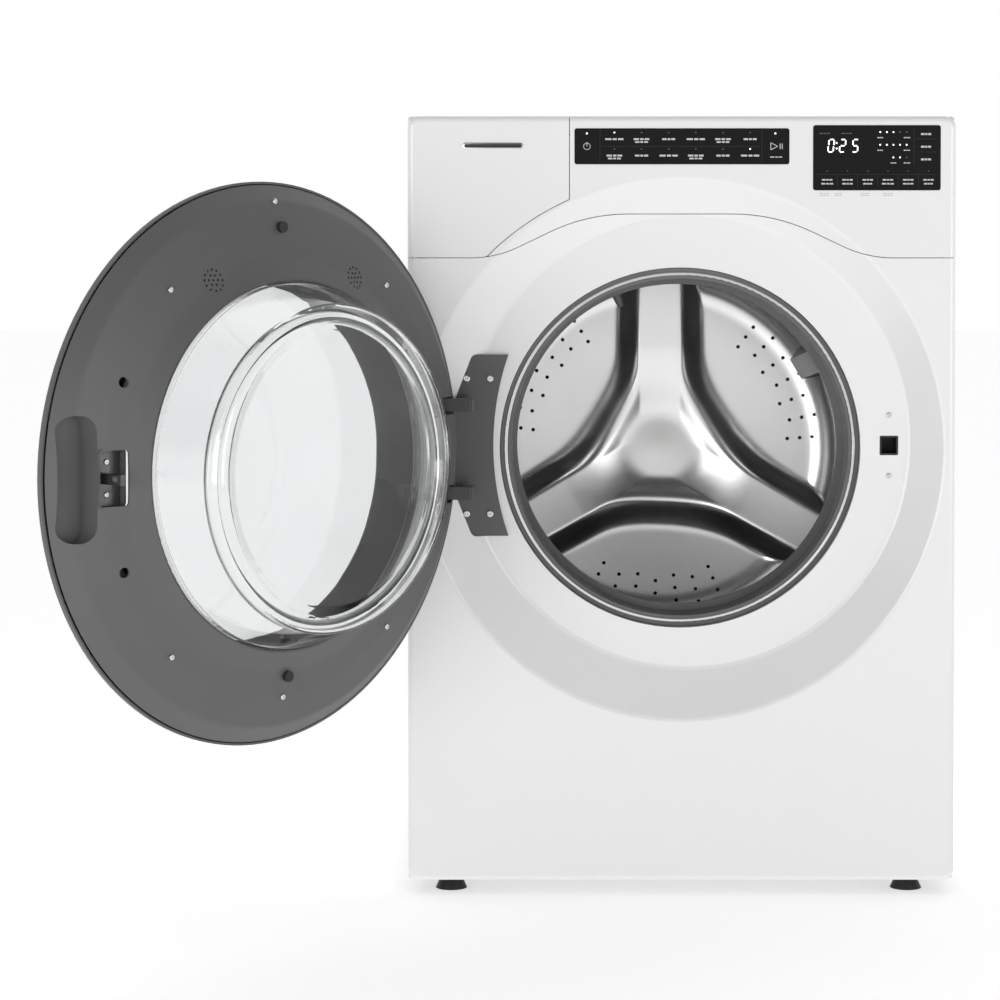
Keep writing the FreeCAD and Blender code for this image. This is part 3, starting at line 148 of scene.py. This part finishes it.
def white_paint(name, level, roughness, peel):
    """Baked white enamel or gloss plastic, with a faint orange peel and cloudy gloss."""
    finish = Finish(name, coat_weight=0.35, coat_roughness=0.06, specular_ior_level=0.5)
    clouds = finish.noise(1.6, 1.0)
    finish.feed(base_color=finish.blend(clouds, grey(level), grey(level * 0.997)),
                roughness=roughness + 0.03 * clouds)
    finish.bump(finish.noise(420.0, 2.0), peel)
    return finish.material


def moulded_plastic(name, level, roughness, grain):
    """Moulded plastic with a fine spark-eroded grain and flow clouding."""
    finish = Finish(name, specular_ior_level=0.45)
    grains = finish.noise(1500.0, 2.0)
    clouds = finish.noise(5.0, 4.0)
    finish.feed(base_color=finish.blend(clouds, grey(level), grey(level * 0.9)),
                roughness=roughness + 0.08 * grains + 0.05 * clouds)
    finish.bump(grains, grain)
    return finish.material


def black_glass(name):
    """Back-printed black control glass with faint finger haze."""
    finish = Finish(name, specular_ior_level=0.15)
    haze = finish.noise(22.0, 5.0, 0.6)
    finish.feed(base_color=finish.blend(haze, grey(0.006), grey(0.009)),
                roughness=finish.steps(haze, (0.35, 0.10), (0.75, 0.24)))
    return finish.material


def clear_glass(name, tint, roughness=0.0):
    """Pressed glass: clear, with slow waves in its surface."""
    finish = Finish(name, transmission_weight=1.0, ior=1.47, base_color=tint, roughness=roughness)
    finish.bump(finish.noise(9.0, 2.0), 0.0012)
    return finish.material


def brushed_steel(name, level, roughness, scale, stretch, depth):
    """Rolled or brushed steel: streaks in the roughness and fine scratches."""
    finish = Finish(name, metallic=1.0)
    streaks = finish.noise(scale, 3.0, 0.6, stretch)
    clouds = finish.noise(7.0, 4.0, 0.55)
    finish.feed(base_color=finish.blend(clouds, grey(level, 0.006), grey(level * 0.9, 0.003)),
                roughness=roughness + 0.05 * streaks + 0.05 * clouds)
    finish.bump(streaks, depth)
    return finish.material


def zinc_plate(name):
    """Galvanised sheet: pale spangle with soft edges."""
    finish = Finish(name, metallic=1.0)
    spangle = finish.node("ShaderNodeTexVoronoi", None, {"Vector": finish.place, "Scale": 90.0}, "Distance")
    tone = finish.steps(spangle, (0.0, 0.0), (0.9, 1.0))
    finish.feed(base_color=finish.blend(tone, grey(0.62), grey(0.48)), roughness=0.34 + 0.18 * spangle)
    finish.bump(finish.noise(260.0, 2.0), 0.0001)
    return finish.material


def rubber(name, level, bloom):
    """Moulded rubber, matt, with a light bloom in patches."""
    finish = Finish(name, specular_ior_level=0.35)
    patches = finish.noise(11.0, 5.0, 0.6)
    finish.feed(base_color=finish.blend(finish.steps(patches, (0.4, 0.0), (0.75, 1.0)), grey(level),
                                        grey(level + bloom)),
                roughness=0.42 + 0.14 * patches)
    finish.bump(finish.noise(900.0, 2.0), 0.00008)
    return finish.material


def cast_concrete(name):
    """Cast concrete: gritty, with cloudy damp marks."""
    finish = Finish(name, roughness=0.9)
    grit = finish.noise(300.0, 6.0, 0.7)
    clouds = finish.noise(12.0, 4.0)
    finish.feed(base_color=finish.blend(0.5 * grit + 0.5 * clouds, grey(0.30, 0.02), grey(0.44, 0.03)))
    finish.bump(grit, 0.0006)
    return finish.material


def cast_alloy(name):
    """Sand-cast aluminium: a rough bright skin."""
    finish = Finish(name, metallic=1.0)
    grit = finish.noise(520.0, 4.0, 0.6)
    finish.feed(base_color=finish.blend(grit, grey(0.56), grey(0.70)), roughness=0.42 + 0.16 * grit)
    finish.bump(grit, 0.00025)
    return finish.material


finishes = {
    "white_enamel": white_paint("white_enamel", 0.86, 0.24, 0.00006),
    "white_plastic": white_paint("white_plastic", 0.85, 0.20, 0.00003),
    "grey_plastic": moulded_plastic("grey_plastic", 0.115, 0.40, 0.00007),
    "dark_plastic": moulded_plastic("dark_plastic", 0.020, 0.42, 0.00006),
    "panel_glass": black_glass("panel_glass"),
    "clear_glass": clear_glass("clear_glass", (0.94, 0.95, 0.95, 1)),
    "tinted_glass": clear_glass("tinted_glass", (0.89, 0.90, 0.905, 1)),
    "stainless": brushed_steel("stainless", 0.84, 0.17, 40.0, (1, 5, 1), 0.00002),
    "steel": brushed_steel("steel", 0.66, 0.16, 300.0, (1, 1, 4), 0.00003),
    "galvanised": zinc_plate("galvanised"),
    "grey_rubber": rubber("grey_rubber", 0.13, 0.03),
    "black_rubber": rubber("black_rubber", 0.018, 0.012),
    "tub_plastic": moulded_plastic("tub_plastic", 0.42, 0.45, 0.0001),
    "concrete": cast_concrete("concrete"),
    "alloy": cast_alloy("alloy"),
}


blackened = {"door_strike": brushed_steel("blackened_steel", 0.16, 0.30, 300.0, (1, 1, 4), 0.00003)}


def dress_nodes():
    """Every carried-over part takes the finish of its slot; the strike plate is blackened."""
    for part in frame["record"]["subparts"]:
        slots = nodes[part["node"]].data.materials
        for index in range(len(slots)):
            slots[index] = blackened.get(part["node"], finishes[part["material_slot"]])


dress_nodes()


# ---------------------------------------------------------------- modelling helpers

TAU = 2 * math.pi
drum_tilt = math.atan2(-drum_axis.z, drum_axis.y)
drum_place = Matrix.Translation(drum_pivot) @ Matrix.Rotation(-drum_tilt, 4, "X")


def begin(name):
    """Names the primitive that was just added and opens it for editing."""
    piece = bpy.context.object
    piece.name = name
    bpy.ops.object.mode_set(mode="EDIT")
    return piece


def clear_choice():
    if bpy.context.object and bpy.context.object.mode != "OBJECT":
        bpy.ops.object.mode_set(mode="OBJECT")
    bpy.ops.object.select_all(action="DESELECT")


def hold(piece):
    """Makes a piece the only one selected, and the active one."""
    clear_choice()
    piece.select_set(True)
    bpy.context.view_layer.objects.active = piece


def settle(piece):
    """Puts a piece's place into its mesh."""
    hold(piece)
    bpy.ops.object.transform_apply(location=True, rotation=True, scale=True)


def shaped_by(piece, kind, **settings):
    """Adds a modifier with these settings and applies it."""
    hold(piece)
    modifier = piece.modifiers.new(kind.lower(), kind)
    for key, value in settings.items():
        setattr(modifier, key, value)
    bpy.ops.object.modifier_apply(modifier=modifier.name)


def smooth(piece, degrees=35):
    hold(piece)
    bpy.ops.object.shade_smooth_by_angle(angle=math.radians(degrees))


def finish_piece(piece, finish, slot, body, *replaced):
    """Gives a settled piece its finish, its body and the parts it stands for."""
    piece.data.materials.clear()
    piece.data.materials.append(finish)
    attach(piece, body)
    if replaced:
        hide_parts(*replaced)


def joined(name, pieces):
    """Several pieces made into one."""
    clear_choice()
    for piece in pieces:
        piece.select_set(True)
    bpy.context.view_layer.objects.active = pieces[0]
    bpy.ops.object.join()
    whole = bpy.context.object
    whole.name = name
    settle(whole)
    return whole


# ---------------------------------------------------------------- drum back

sheet_radius = 271.6 * MM
sheet_thickness = 1.2 * MM
sheet_sides = 432
sheet_rings = 58
back_depth = 489 * MM
corner_fillet = 58 * MM
back_cone = 0.07
spoke_half = 29 * MM
spoke_rise = 19 * MM
spoke_slope = 0.10
spoke_side = 44 * MM
spoke_groove = 9 * MM
hub_groove_share = 0.2
ridge_round = 12 * MM
hub_radius = 150 * MM
hub_blend = 92 * MM
SPOKE_ANGLES = [math.radians(a) for a in (90, 210, 330)]
hole_radius = 2.7 * MM
HOLE_ROWS = [math.radians(a) for a in range(-26, 27, 8)]
HOLE_RADII = [r * MM for r in (186, 204, 222)]
hole_stagger = 7 * MM


def soft_least(a, b, k):
    """The smaller of two distances, rounded where they are nearly equal."""
    mixed = max(0.0, min(1.0, 0.5 + 0.5 * (b - a) / k))
    return b * (1 - mixed) + a * mixed - k * mixed * (1 - mixed)


def spoke_distance(x, z):
    """Distance from the top of the nearest spoke, blended round the hub."""
    nearest = None
    for angle in SPOKE_ANGLES:
        along = x * math.cos(angle) + z * math.sin(angle)
        beside = abs(-x * math.sin(angle) + z * math.cos(angle))
        away = max(0.0, beside - spoke_half) if along > 0 else math.hypot(along, beside) - spoke_half
        nearest = away if nearest is None else soft_least(nearest, away, hub_blend)
    return nearest


def eased(share):
    """Zero to one, level at both ends."""
    share = max(0.0, min(1.0, share))
    return share * share * (3 - 2 * share)


def back_sheet_depth(x, z):
    """Depth of the pressed sheet behind the drum's front pivot."""
    radius = math.hypot(x, z)
    outwards = eased(radius / hub_radius)
    fillet_start = sheet_radius - corner_fillet
    turn = max(0.0, min(1.0, (radius - fillet_start) / corner_fillet))
    dish = corner_fillet * (1 - math.sqrt(max(0.0, 1 - turn * turn))) + back_cone * radius
    beside = spoke_distance(x, z)
    groove_share = hub_groove_share + (1 - hub_groove_share) * outwards
    groove = spoke_groove * eased(-beside / spoke_half) * groove_share
    raised = eased(1 - beside / spoke_side) * (spoke_rise + spoke_slope * radius * outwards) - groove
    return back_depth + soft_least(-dish, -raised, ridge_round)


def drum_back():
    """Pressed steel back of the drum: three wide spokes round a hub, and holes between them."""
    clear_choice()
    bpy.ops.mesh.primitive_circle_add(vertices=sheet_sides, radius=sheet_radius,
                                      rotation=(math.pi / 2, 0, 0))
    sheet = begin("drum_back")
    for ring in range(sheet_rings):
        bpy.ops.mesh.extrude_edges_move()
        bpy.ops.transform.resize(value=[1 - 1 / (sheet_rings + 1 - ring)] * 3)
    bpy.ops.mesh.merge(type="CENTER")
    bpy.ops.object.mode_set(mode="OBJECT")
    settle(sheet)
    for point in sheet.data.vertices:
        point.co.y = back_sheet_depth(point.co.x, point.co.z)
    hold(sheet)
    bpy.ops.object.mode_set(mode="EDIT")
    bpy.ops.mesh.select_all(action="SELECT")
    bpy.ops.mesh.normals_make_consistent(inside=False)
    bpy.ops.object.mode_set(mode="OBJECT")
    shaped_by(sheet, "SOLIDIFY", thickness=sheet_thickness, offset=0)
    cutters = hole_cutters()
    shaped_by(sheet, "BOOLEAN", operation="DIFFERENCE", object=cutters, solver="EXACT")
    bpy.data.objects.remove(cutters)
    smooth(sheet, 40)
    sheet.data.transform(drum_place)
    finish_piece(sheet, finishes["stainless"], "stainless", "drum", "drum_end")


def hole_cutters():
    """One mesh of short rods, in fans between the spokes."""
    clear_choice()
    rods = None
    for spoke in SPOKE_ANGLES:
        for row, turn in enumerate(HOLE_ROWS):
            angle = spoke + TAU / 6 + turn
            for radius in HOLE_RADII:
                out = radius + (row % 2) * hole_stagger
                x, z = out * math.cos(angle), out * math.sin(angle)
                bpy.ops.mesh.primitive_cylinder_add(vertices=14, radius=hole_radius, depth=30 * MM,
                                                    location=(x, back_sheet_depth(x, z), z),
                                                    rotation=(math.pi / 2, 0, 0))
                rods = rods or begin("hole_cutters")
    bpy.ops.object.mode_set(mode="OBJECT")
    settle(rods)
    return rods


drum_back()


# ---------------------------------------------------------------- door glass

door_hinge = Vector(joints["door_hinge"]["pos_m"])
door_angle = math.radians(132)
door_opened = (Matrix.Translation(door_hinge) @ Matrix.Rotation(-door_angle, 4, "Z")
               @ Matrix.Translation(-door_hinge))
bead_radius = 7.5 * MM
nose_radius = 176 * MM
nose_depth = 91 * MM


def bowl_bead():
    """Thick fire-polished rim round the nose of the door glass."""
    clear_choice()
    bpy.ops.mesh.primitive_torus_add(major_segments=160, minor_segments=24, major_radius=nose_radius,
                                     minor_radius=bead_radius, rotation=(math.pi / 2, 0, 0),
                                     location=(0, front_y + nose_depth, door_hinge.z))
    bead = bpy.context.object
    bead.name = "bowl_bead"
    settle(bead)
    smooth(bead, 60)
    bead.data.transform(door_opened)
    finish_piece(bead, clear_glass("polished_glass", (0.99, 0.995, 0.995, 1)), "clear_glass", "door")


bowl_bead()


# ---------------------------------------------------------------- control panel markings

mark_lift = 0.25 * MM
touch_low, touch_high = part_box("touch_panel")
display_low, display_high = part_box("display_panel")
drawer_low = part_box("drawer_front")[0]


class Marks:
    """Thin printed shapes on one face, gathered into one piece."""

    def __init__(self, name, face_y):
        self.name = name
        self.face_y = face_y
        self.shapes = []

    def keep(self):
        self.shapes.append(bpy.context.object)

    def plate(self, x, z, width, height, turn=0.0):
        bpy.ops.mesh.primitive_cube_add(size=1, location=(x, self.face_y - mark_lift / 2, z),
                                        rotation=(0, turn, 0))
        bpy.context.object.scale = (width, mark_lift * 1.4, height)
        self.keep()

    def dot(self, x, z, radius, sides=16):
        bpy.ops.mesh.primitive_cylinder_add(vertices=sides, radius=radius, depth=mark_lift * 1.4,
                                            location=(x, self.face_y - mark_lift / 2, z),
                                            rotation=(math.pi / 2, 0, 0))
        self.keep()

    def ring(self, x, z, radius, line, sides=40):
        bpy.ops.mesh.primitive_torus_add(major_segments=sides, minor_segments=6, major_radius=radius,
                                         minor_radius=line, location=(x, self.face_y - mark_lift / 2, z),
                                         rotation=(math.pi / 2, 0, 0))
        self.keep()

    def words(self, x, z, width, height):
        """A label, as short bars of uneven length."""
        shares = (0.34, 0.22, 0.30)
        gap = width * 0.07
        left = x - width / 2
        for share in shares:
            self.plate(left + width * share / 2, z, width * share, height)
            left += width * share + gap

    def done(self, finish, slot, body):
        clear_choice()
        whole = joined(self.name, self.shapes)
        shaped_by(whole, "BEVEL", width=0.08 * MM, segments=1)
        finish_piece(whole, finish, slot, body)


def printed(name, level, glow=0.0):
    """Printed or back-lit marking, very slightly uneven."""
    finish = Finish(name, roughness=0.35, emission_strength=glow)
    speckle = finish.noise(900.0, 2.0)
    finish.feed(base_color=finish.blend(speckle, grey(level), grey(level * 0.9)))
    if glow:
        finish.feed(emission_color=finish.blend(speckle, grey(1.0), grey(0.9)))
    return finish.material


label_print = printed("label_print", 0.62)
faint_print = printed("faint_print", 0.10)
key_line = printed("key_line", 0.035)
lit_lamp = printed("lit_lamp", 0.9, 1.6)

SEGMENTS = {"0": "abcdef", "2": "abged", "5": "afgcd"}
digit_size = (6.6 * MM, 15.5 * MM)
segment_line = 1.5 * MM
segment_gap = 1.3 * segment_line


def digit(marks, x, z, figure):
    """Seven-segment figure, leaning a little to the right."""
    width, height = digit_size
    lean = 0.06
    spots = {"a": (0, 1, 0), "g": (0, 0, 0), "d": (0, -1, 0), "f": (-1, 0.5, 1), "b": (1, 0.5, 1),
             "e": (-1, -0.5, 1), "c": (1, -0.5, 1)}
    for letter in SEGMENTS[figure]:
        across, up, upright = spots[letter]
        bar_x = x + across * width / 2 + up * height * lean
        bar_z = z + up * height / 2
        if upright:
            marks.plate(bar_x, bar_z, segment_line, height / 2 - segment_gap, lean)
        else:
            marks.plate(bar_x, bar_z, width - segment_gap, segment_line)


def touch_panel_marks():
    """Power and start keys at the ends, twelve programme labels with a lamp over each."""
    face = touch_low.y
    left, width = touch_low.x, touch_high.x - touch_low.x
    base, height = touch_low.z, touch_high.z - touch_low.z
    labels = Marks("programme_labels", face)
    lamps = Marks("programme_lamps", face)
    unlit = Marks("programme_lamps_off", face)
    keys = Marks("key_lines", face)
    lit = {(0, 0), (1, 5)}
    for row, share in enumerate((0.70, 0.24)):
        for column in range(6):
            x = left + width * (0.185 + column * 0.1265)
            z = base + height * share
            labels.words(x, z, (0.085 - 0.012 * ((row + column) % 3)) * width, 2.3 * MM)
            if (row + column) % 3 == 1:
                labels.words(x, z - 3.6 * MM, 0.06 * width, 2.0 * MM)
            (lamps if (row, column) in lit else unlit).dot(x, z + 8.2 * MM, 0.95 * MM)
    for share in (0.118, 0.872):
        keys.plate(left + width * share, base + height / 2, 0.4 * MM, height * 0.92)
    keys.plate(left + width * 0.495, base + height * 0.5, width * 0.74, 0.4 * MM)
    power_x, start_x = left + width * 0.057, left + width * 0.935
    lamps.dot(power_x, base + height * 0.86, 1.1 * MM)
    lamps.dot(start_x, base + height * 0.86, 1.1 * MM)
    labels.ring(power_x, base + height * 0.50, 4.1 * MM, 0.45 * MM)
    labels.plate(power_x, base + height * 0.56, 0.9 * MM, 5.2 * MM)
    for turn, dx, dz, length in ((0, -4.2, 0, 9.4), (0.46, 0, 2.3, 9.4), (-0.46, 0, -2.3, 9.4)):
        wide, tall = (0.9 * MM, length * MM) if dz == 0 else (length * MM, 0.9 * MM)
        labels.plate(start_x - 1.5 * MM + dx * MM, base + height * 0.5 + dz * MM, wide, tall, turn)
    for dx in (6.0, 8.6):
        labels.plate(start_x + dx * MM, base + height * 0.5, 1.0 * MM, 7.0 * MM)
    labels.words(start_x + 1 * MM, base + height * 0.2, 15 * MM, 1.3 * MM)
    labels.done(label_print, "panel_glass", "cabinet")
    lamps.done(lit_lamp, "panel_glass", "cabinet")
    unlit.done(faint_print, "panel_glass", "cabinet")
    keys.done(key_line, "panel_glass", "cabinet")


def display_panel_marks():
    """Clock figures, three rows of level lamps, three side keys and six keys below."""
    face = display_low.y
    left, width = display_low.x, display_high.x - display_low.x
    base, height = display_low.z, display_high.z - display_low.z
    figures = Marks("display_figures", face)
    labels = Marks("display_labels", face)
    unlit = Marks("display_lamps_off", face)
    keys = Marks("display_key_lines", face)
    middle = base + height * 0.685
    for share, figure in ((0.125, "0"), (0.215, "2"), (0.315, "5")):
        digit(figures, left + width * (share + 0.015), middle, figure)
    for side in (-1, 1):
        figures.dot(left + width * 0.183, middle + side * 3.4 * MM, 1.0 * MM)
    for row, (share, lit_count, count) in enumerate(((0.895, 3, 5), (0.70, 5, 5), (0.505, 2, 3))):
        for lamp in range(count):
            x = left + width * (0.525 + 0.052 * (lamp + 5 - count))
            kind = figures if lamp < lit_count else unlit
            kind.dot(x, base + height * share, 1.0 * MM)
        labels.words(left + width * (0.525 + 0.052 * (5 - count)), base + height * (share - 0.085),
                     7 * MM, 1.3 * MM)
        labels.words(left + width * 0.735, base + height * (share - 0.085), 8 * MM, 1.3 * MM)
        labels.words(left + width * 0.885, base + height * (share - 0.03), 12.5 * MM, 2.4 * MM)
    for key in range(6):
        x = left + width * (0.11 + key * 0.159)
        labels.words(x, base + height * 0.16, 13 * MM, 1.9 * MM)
        labels.words(x, base + height * 0.10, 15 * MM - (key % 3) * 2 * MM, 1.9 * MM)
        unlit.dot(x, base + height * 0.295, 0.8 * MM)
        if key:
            keys.plate(x - width * 0.0795, base + height * 0.14, 0.4 * MM, height * 0.18)
    keys.plate(left + width * 0.5, base + height * 0.245, width * 0.95, 0.4 * MM)
    for share in (0.79, 0.59):
        keys.plate(left + width * 0.885, base + height * share, width * 0.17, 0.4 * MM)
    keys.plate(left + width * 0.79, base + height * 0.68, 0.4 * MM, height * 0.56)
    for x_share in (0.07, 0.24):
        unlit.words(left + width * (x_share + 0.02), base + height * 0.875, 13 * MM, 1.3 * MM)
    figures.done(lit_lamp, "panel_glass", "cabinet")
    labels.done(label_print, "panel_glass", "cabinet")
    unlit.done(faint_print, "panel_glass", "cabinet")
    keys.done(key_line, "panel_glass", "cabinet")


def small_print():
    """Faint grey notes printed under the display."""
    notes = Marks("fascia_notes", front_y)
    for x_share, width in ((0.05, 12), (0.16, 9), (0.37, 11), (0.55, 12)):
        x = display_low.x + (display_high.x - display_low.x) * x_share
        for drop in (4.2, 6.6):
            notes.words(x + 6 * MM, display_low.z - drop * MM, width * MM, 0.9 * MM)
    notes.done(printed("pale_print", 0.55), "white_plastic", "cabinet")


badge_middle = Vector((drawer_low.x + 107 * MM, drawer_low.y, 943.7 * MM))
BADGE_LAYERS = {
    "badge_bar": ("steel", 76 * MM, 8.4 * MM, 0.9 * MM),
    "badge_inlay": ("dark_plastic", 72 * MM, 4.6 * MM, 1.1 * MM),
}


def badge_layer(name, slot, length, height, proud):
    """One round-ended bar of the badge."""
    clear_choice()
    bpy.ops.mesh.primitive_cylinder_add(vertices=40, radius=height / 2, depth=2 * proud,
                                        location=badge_middle, rotation=(math.pi / 2, 0, 0))
    bar = bpy.context.object
    bar.name = name
    settle(bar)
    reach = (length - height) / 2
    for point in bar.data.vertices:
        side = point.co.x - badge_middle.x
        if abs(side) > 1e-6:
            point.co.x += math.copysign(reach, side)
    shaped_by(bar, "BEVEL", width=0.35 * MM, segments=3, limit_method="ANGLE")
    smooth(bar)
    finish_piece(bar, finishes[slot], slot, "drawer")


def maker_badge():
    """Plain oblong badge on the drawer front: a bevelled bright bar with a dark inlay."""
    for name, layer in BADGE_LAYERS.items():
        badge_layer(name, *layer)


touch_panel_marks()
display_panel_marks()
small_print()
maker_badge()


# ---------------------------------------------------------------- stage, lights and camera

def stage():
    """Pale floor that runs out of view on every side."""
    bpy.ops.mesh.primitive_plane_add(size=40, location=(0, 0, 0))
    floor = bpy.context.object
    floor.name = "floor"
    pale = Finish("pale_floor", roughness=0.85, specular_ior_level=0.0, emission_strength=0.47)
    soft = pale.noise(0.8, 2.0)
    pale.feed(base_color=pale.blend(soft, grey(0.88), grey(0.90)),
              emission_color=pale.blend(soft, grey(1.0), grey(0.99)))
    floor.data.materials.append(pale.material)


# Grey levels of the studio by direction: how far back a ray looks (Y) and how high (Z).
WORLD_BANDS = {
    "Y": ((0.0, 0.0), (0.3, 1.0)),
    "Z": ((0.11, 0.85), (0.22, 0.06), (0.50, 0.06), (0.70, 0.36)),
}


def softbox(name, place, target, size, power):
    """A rectangular lamp at a place, turned to its target."""
    data = bpy.data.lights.new(name, "AREA")
    data.shape = "RECTANGLE"
    data.size, data.size_y = size
    data.energy = power
    lamp = bpy.data.objects.new(name, data)
    lamp.location = place
    lamp.rotation_euler = (Vector(target) - Vector(place)).to_track_quat("-Z", "Y").to_euler()
    bpy.context.scene.collection.objects.link(lamp)


def studio_light():
    """White cyclorama behind; in front, a pale low band, a dark band over it and a grey ceiling."""
    world = bpy.data.worlds.new("studio")
    world.use_nodes = True
    bpy.context.scene.world = world
    tree = world.node_tree
    direction = tree.nodes.new("ShaderNodeTexCoord")
    split = tree.nodes.new("ShaderNodeSeparateXYZ")
    tree.links.new(direction.outputs["Generated"], split.inputs[0])
    ramps = {}
    for axis, stops in WORLD_BANDS.items():
        ramps[axis] = tree.nodes.new("ShaderNodeValToRGB")
        tree.links.new(split.outputs[axis], ramps[axis].inputs[0])
        elements = ramps[axis].color_ramp.elements
        while len(elements) < len(stops):
            elements.new(0.5)
        for element, (position, level) in zip(elements, stops):
            element.position = position
            element.color = (level, level, level, 1)
    mix = tree.nodes.new("ShaderNodeMix")
    mix.data_type = "RGBA"
    tree.links.new(ramps["Y"].outputs[0], mix.inputs[0])
    tree.links.new(ramps["Z"].outputs[0], mix.inputs[6])
    mix.inputs[7].default_value = (1, 1, 1, 1)
    tree.links.new(mix.outputs[2], tree.nodes["Background"].inputs["Color"])
    middle_of_front = (0, 0, 0.6)
    softbox("key", (-2.0, -3.6, 0.9), middle_of_front, (2.0, 1.6), 33)
    softbox("fill", (2.4, -3.4, 0.9), middle_of_front, (1.6, 1.6), 25)


def camera():
    """Long lens at eye height, shifted so that upright lines stay upright."""
    data = bpy.data.cameras.new("camera")
    data.sensor_width = 36
    data.lens = 105.8
    data.shift_x = -0.025
    data.shift_y = -0.196
    eye = bpy.data.objects.new("camera", data)
    eye.location = (-0.196, -4.034, 0.8425)
    eye.rotation_euler = (math.radians(90 - 1.5), 0, 0)
    bpy.context.scene.collection.objects.link(eye)
    bpy.context.scene.camera = eye
    bpy.context.scene.view_settings.view_transform = "Standard"


stage()
studio_light()
camera()
